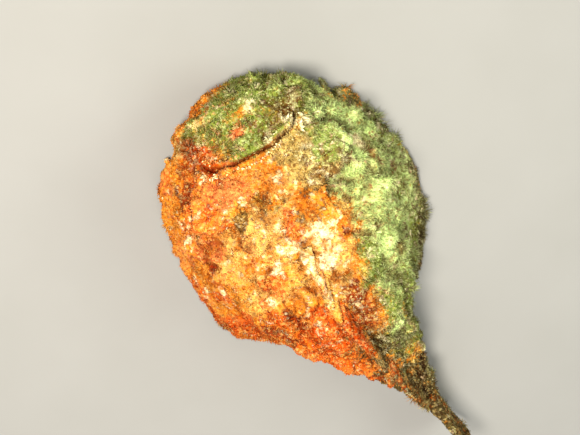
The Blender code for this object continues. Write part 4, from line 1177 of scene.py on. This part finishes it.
SKIN_TONES = {
    "moss": "#8A983E",  # olive turf
    "lime": "#CCE28C",  # bright algae that catches the light
    "yellow": "#EEB65C",
    "salmon": "#E07A3E",  # thin pink crust
    "ember": "#D8560C",
    "sand": "#C2A256",  # short pale turf
    "rust": "#963C10",
    "umber": "#704A1A",
    "brown_and_shade": "#5A4C28",  # olive brown of the tail and lower sides, partly painted shade there
    "bare": "#B58A66",  # the belly, with little growth on it
    "cream": "#FFF0BE",
}
# The last of these is the dark brown that the painted shade multiplies in
BASE_ORANGE, PALE_DOT, GREEN_DOT, DARK_DOT, HOLLOW_SHADE = "#F2A02A", "#F9CC6C", "#ECF0AC", "#A87850", "#8E5A30"


def grown_skin(name, coated):
    """Fish skin grown over by algae, sponge and crusts: matt, blotched, dotted with pale grains, with painted shade in
    its hollows and a painted highlight on its lumps.

    coated is for the strands, whose colour also runs from a painted shade at the foot to a paler tip and differs from
    one to the next.
    """
    material, tree, shader = new_material(name)
    place = add(tree, "ShaderNodeTexCoord", {}).outputs["Object"]
    blotch = add(tree, "ShaderNodeTexNoise", {"Vector": place, "Scale": per_metre(7), "Detail": 4.0, "Roughness": 0.65})
    fleck = add(tree, "ShaderNodeTexNoise", {"Vector": place, "Scale": per_metre(2.2), "Detail": 2.0, "Roughness": 0.6})
    uneven = add(tree, "ShaderNodeMath", {0: blotch, 1: fleck}, operation="ADD")
    colour = add(
        tree,
        "ShaderNodeMix",
        {0: blotch, 6: linear("#E0761A"), 7: linear(BASE_ORANGE)},
        data_type="RGBA",
    ).outputs[2]
    for tone, code in SKIN_TONES.items():
        amount = add(tree, "ShaderNodeAttribute", {}, attribute_name=tone).outputs["Fac"]
        broken = add(tree, "ShaderNodeMath", {0: uneven, 1: 1.5, 2: amount}, operation="MULTIPLY_ADD")
        factor = add(
            tree,
            "ShaderNodeMapRange",
            {"Value": broken, "From Min": 1.7, "From Max": 2.3},
            interpolation_type="SMOOTHSTEP",
        )
        colour = add(tree, "ShaderNodeMix", {0: factor, 6: colour, 7: linear(code)}, data_type="RGBA").outputs[2]

    # Pale and dark grains; the pale ones are warm on the orange side and greenish on the other
    moss = add(tree, "ShaderNodeAttribute", {}, attribute_name="moss").outputs["Fac"]
    pale_dot = add(
        tree, "ShaderNodeMix", {0: moss, 6: linear(PALE_DOT), 7: linear(GREEN_DOT)}, data_type="RGBA"
    ).outputs[2]
    grains = add(tree, "ShaderNodeTexVoronoi", {"Vector": place, "Scale": per_metre(1.5)})
    parts = add(tree, "ShaderNodeSeparateColor", {"Color": grains.outputs["Color"]})
    for output, low, high, strength, blend, tone in (
        ("Red", 0.66, 0.86, 0.36, "MIX", pale_dot),
        ("Green", 0.70, 0.90, 0.65, "MULTIPLY", linear(DARK_DOT)),
    ):
        factor = add(
            tree,
            "ShaderNodeMapRange",
            {"Value": parts.outputs[output], "From Min": low, "From Max": high, "To Max": strength},
        )
        colour = add(
            tree, "ShaderNodeMix", {0: factor, 6: colour, 7: tone}, data_type="RGBA", blend_type=blend
        ).outputs[2]

    # Painted shade: the colour is multiplied towards a dark brown in creases, slits and low places
    pit = add(tree, "ShaderNodeAttribute", {}, attribute_name="pit").outputs["Fac"]
    shade = add(tree, "ShaderNodeMapRange", {"Value": pit, "From Min": 0.3, "From Max": 0.9, "To Max": 0.85})
    colour = add(
        tree, "ShaderNodeMix", {0: shade, 6: colour, 7: linear(HOLLOW_SHADE)}, data_type="RGBA", blend_type="MULTIPLY"
    ).outputs[2]
    # Painted highlight: a paler colour where the crown field is high, on the raised lumps
    crown = add(tree, "ShaderNodeAttribute", {}, attribute_name="crown").outputs["Fac"]
    lit = add(tree, "ShaderNodeMapRange", {"Value": crown, "From Min": 0.25, "From Max": 0.9, "To Max": 0.2})
    colour = add(tree, "ShaderNodeMix", {0: lit, 6: colour, 7: pale_dot}, data_type="RGBA").outputs[2]
    if coated:
        tip = add(tree, "ShaderNodeAttribute", {}, attribute_name="tip").outputs["Fac"]
        own = add(tree, "ShaderNodeAttribute", {}, attribute_name="own").outputs["Fac"]
        # Each strand darker at its foot, painted shade down in the coat, and lighter towards its tip
        level = add(tree, "ShaderNodeMapRange", {"Value": own, "To Min": 0.65, "To Max": 1.3})
        shaded = add(tree, "ShaderNodeMapRange", {"Value": tip, "To Min": 0.65, "To Max": 1.15})
        level = add(tree, "ShaderNodeMath", {0: level, 1: shaded}, operation="MULTIPLY")
        colour = add(tree, "ShaderNodeVectorMath", {0: colour, "Scale": level}, operation="SCALE").outputs["Vector"]
        pale = add(tree, "ShaderNodeMapRange", {"Value": own, "From Min": 0.78, "From Max": 0.98, "To Max": 0.65})
        pale = add(tree, "ShaderNodeMath", {0: pale, 1: tip}, operation="MULTIPLY")
        colour = add(tree, "ShaderNodeMix", {0: pale, 6: colour, 7: pale_dot}, data_type="RGBA").outputs[2]
    tree.links.new(colour, shader.inputs["Base Color"])
    shader.inputs["Roughness"].default_value = 0.82
    shader.inputs["IOR"].default_value = 1.4
    shader.inputs["Specular IOR Level"].default_value = 0.12
    if not coated:
        rough = add(tree, "ShaderNodeMapRange", {"Value": fleck, "To Min": 0.65, "To Max": 0.95})
        tree.links.new(rough.outputs[0], shader.inputs["Roughness"])
        height = add(tree, "ShaderNodeMath", {0: grains.outputs["Distance"], 1: -0.6, 2: fleck}, operation="MULTIPLY_ADD")
        bump = add(tree, "ShaderNodeBump", {"Height": height, "Strength": 0.7, "Distance": 0.0008})
        tree.links.new(bump.outputs[0], shader.inputs["Normal"])
    return material


def living_eye():
    """A fish's eye: a wet clear cornea over a mottled gold-brown iris and a black pupil."""
    material, tree, shader = new_material("living_eye")
    polar = add(tree, "ShaderNodeAttribute", {}, attribute_name="polar").outputs["Fac"]
    place = add(tree, "ShaderNodeTexCoord", {}).outputs["Object"]
    mottle = add(tree, "ShaderNodeTexNoise", {"Vector": place, "Scale": per_metre(0.9), "Detail": 3.0})
    iris = add(
        tree, "ShaderNodeMix", {0: mottle, 6: linear("#2A1608"), 7: linear("#C48A2C")}, data_type="RGBA"
    ).outputs[2]
    pupil = add(tree, "ShaderNodeMapRange", {"Value": polar, "From Min": 0.40, "From Max": 0.46})
    colour = add(tree, "ShaderNodeMix", {0: pupil, 6: linear("#050403"), 7: iris}, data_type="RGBA").outputs[2]
    white = add(tree, "ShaderNodeMapRange", {"Value": polar, "From Min": 0.95, "From Max": 1.1})
    colour = add(tree, "ShaderNodeMix", {0: white, 6: colour, 7: linear("#6A4A2A")}, data_type="RGBA").outputs[2]
    tree.links.new(colour, shader.inputs["Base Color"])
    shader.inputs["Roughness"].default_value = 0.12
    shader.inputs["IOR"].default_value = 1.38
    shader.inputs["Coat Weight"].default_value = 0.8
    shader.inputs["Coat Roughness"].default_value = 0.03
    return material


def studio_floor():
    """Matt pale paper: a little mottled, so that it reads as a surface."""
    material, tree, shader = new_material("studio_floor")
    place = add(tree, "ShaderNodeTexCoord", {}).outputs["Object"]
    cloud = add(tree, "ShaderNodeTexNoise", {"Vector": place, "Scale": per_metre(60), "Detail": 3.0})
    colour = add(
        tree, "ShaderNodeMix", {0: cloud, 6: linear("#999792"), 7: linear("#A09E9A")}, data_type="RGBA"
    ).outputs[2]
    tree.links.new(colour, shader.inputs["Base Color"])
    shader.inputs["Roughness"].default_value = 0.9
    return material


# The stage


def area_light(name, place, aim, size, watts, colour):
    """A soft light that faces a point."""
    lamp = bpy.data.lights.new(name, "AREA")
    lamp.shape = "DISK"
    lamp.size = size
    lamp.energy = watts
    lamp.color = linear(colour)[:3]
    made = bpy.data.objects.new(name, lamp)
    bpy.context.scene.collection.objects.link(made)
    made.location = place
    made.rotation_euler = (Vector(aim) - Vector(place)).to_track_quat("-Z", "Y").to_euler()


# Camera, fitted to the fish in a picture 580 pixels wide and 435 high
PICTURE_WIDTH = 580.0
FOCAL_PIXELS = 959.51
ELEVATION, AZIMUTH, ROLL = 61.97, -8.07, 159.47
CAMERA_DISTANCE = 520.0
CAMERA_TARGET = (0.32, 67.35, 60.0)  # on the fish's own straight axes
SENSOR = 36.0


def place_camera():
    """The camera looks down at the head from before the fish, and is nearly upside down."""
    tilt, swing, roll = (math.radians(v) for v in (ELEVATION, AZIMUTH, ROLL))
    back = Vector((math.sin(swing) * math.cos(tilt), -math.cos(swing) * math.cos(tilt), math.sin(tilt)))
    right = (-back).cross(Vector((0, 0, 1))).normalized()
    up = right.cross(-back)
    turned_right = right * math.cos(roll) + up * math.sin(roll)
    turned_up = -right * math.sin(roll) + up * math.cos(roll)
    lens = bpy.data.cameras.new("camera")
    lens.sensor_width = SENSOR
    lens.lens = FOCAL_PIXELS * SENSOR / PICTURE_WIDTH
    lens.clip_start = 0.01
    camera = bpy.data.objects.new("camera", lens)
    bpy.context.scene.collection.objects.link(camera)
    place = Vector(CAMERA_TARGET) * MM + Vector(OFFSET) + back * CAMERA_DISTANCE * MM
    axes = Matrix((turned_right, turned_up, back)).transposed().to_4x4()
    camera.matrix_world = Matrix.Translation(place) @ axes
    bpy.context.scene.camera = camera


def set_stage():
    """Floor, lights and the tone of the picture."""
    mesh = bpy.data.meshes.new("floor")
    reach = 4.0
    mesh.from_pydata([(-reach, -reach, 0), (reach, -reach, 0), (reach, reach, 0), (-reach, reach, 0)], [], [(0, 1, 2, 3)])
    mesh.materials.append(studio_floor())
    floor = bpy.data.objects.new("floor", mesh)
    bpy.context.scene.collection.objects.link(floor)
    area_light("key", (0.16, -0.42, 0.88), (0, -0.05, 0.05), 0.26, 14.6, "#FFFAF0")
    area_light("fill", (-0.7, 0.0, 0.7), (0, 0, 0.04), 0.6, 5.5, "#F4FAF0")
    area_light("back", (0.2, 0.8, 0.6), (0, 0, 0.04), 0.6, 3.0, "#FFFFFF")
    world = bpy.data.worlds.new("studio")
    world.use_nodes = True
    world.node_tree.nodes["Background"].inputs["Color"].default_value = linear("#CECCC8")
    world.node_tree.nodes["Background"].inputs["Strength"].default_value = 0.45
    bpy.context.scene.world = world
    bpy.context.scene.view_settings.view_transform = "Standard"


def dress():
    """Makes every piece of the fish."""
    bare, turf = grown_skin("grown_skin", False), grown_skin("reef_turf", True)
    wet = living_eye()
    body = body_skin()
    flesh = joined([body] + nostrils() + eyelids())
    nodes = ("head", "lower_jaw", "trunk", "tail", "gill_cover_left", "gill_cover_right")
    draw_piece("skin", flesh, bare, nodes)
    for side, word in ((1, "left"), (-1, "right")):
        draw_piece("eyeball_" + word, eyeball(side), wet, ("eye_" + word,))

    weight = (0.10 + 0.90 * eased(1, 16, flesh["points"][:, 2])) * eased(3.8, 4.8, from_eye_axis(flesh["points"]))
    weight *= 1 - 0.9 * eased(0.8, 1.0, flesh["fields"]["pit"])
    weight *= 1 + flesh["fields"]["moss"]
    draw_coat("coat", flesh, 100000, weight, turf, 21, beads=0.6)
    draw_piece("lip_fringe", fringe_shape(), turf)

    fins = {
        "pectoral_fin_left": (pectoral_fin(1), 17000),
        "pectoral_fin_right": (pectoral_fin(-1), 17000),
        "pelvic_fin_left": (pelvic_fin(1), 900),
        "pelvic_fin_right": (pelvic_fin(-1), 900),
        "dorsal_fin_spiny": (dorsal_spines(), 6500),
        "dorsal_fin_soft": (dorsal_rays(), 1600),
        "anal_fin": (anal_fin(), 700),
        "caudal_fin": (caudal_fin(), 3600),
    }
    for number, (name, ((shape, edge), count)) in enumerate(fins.items()):
        draw_piece("skin_of_" + name, shape, bare, (name,))
        shape["fields"]["rim"] = eased(0.75, 1.0, edge)
        weight = 1 + 2.0 * shape["fields"]["rim"]
        draw_coat("coat_of_" + name, shape, count, weight, turf, 30 + number, scale=0.75, beads=0.4)


place_camera()
set_stage()
dress()
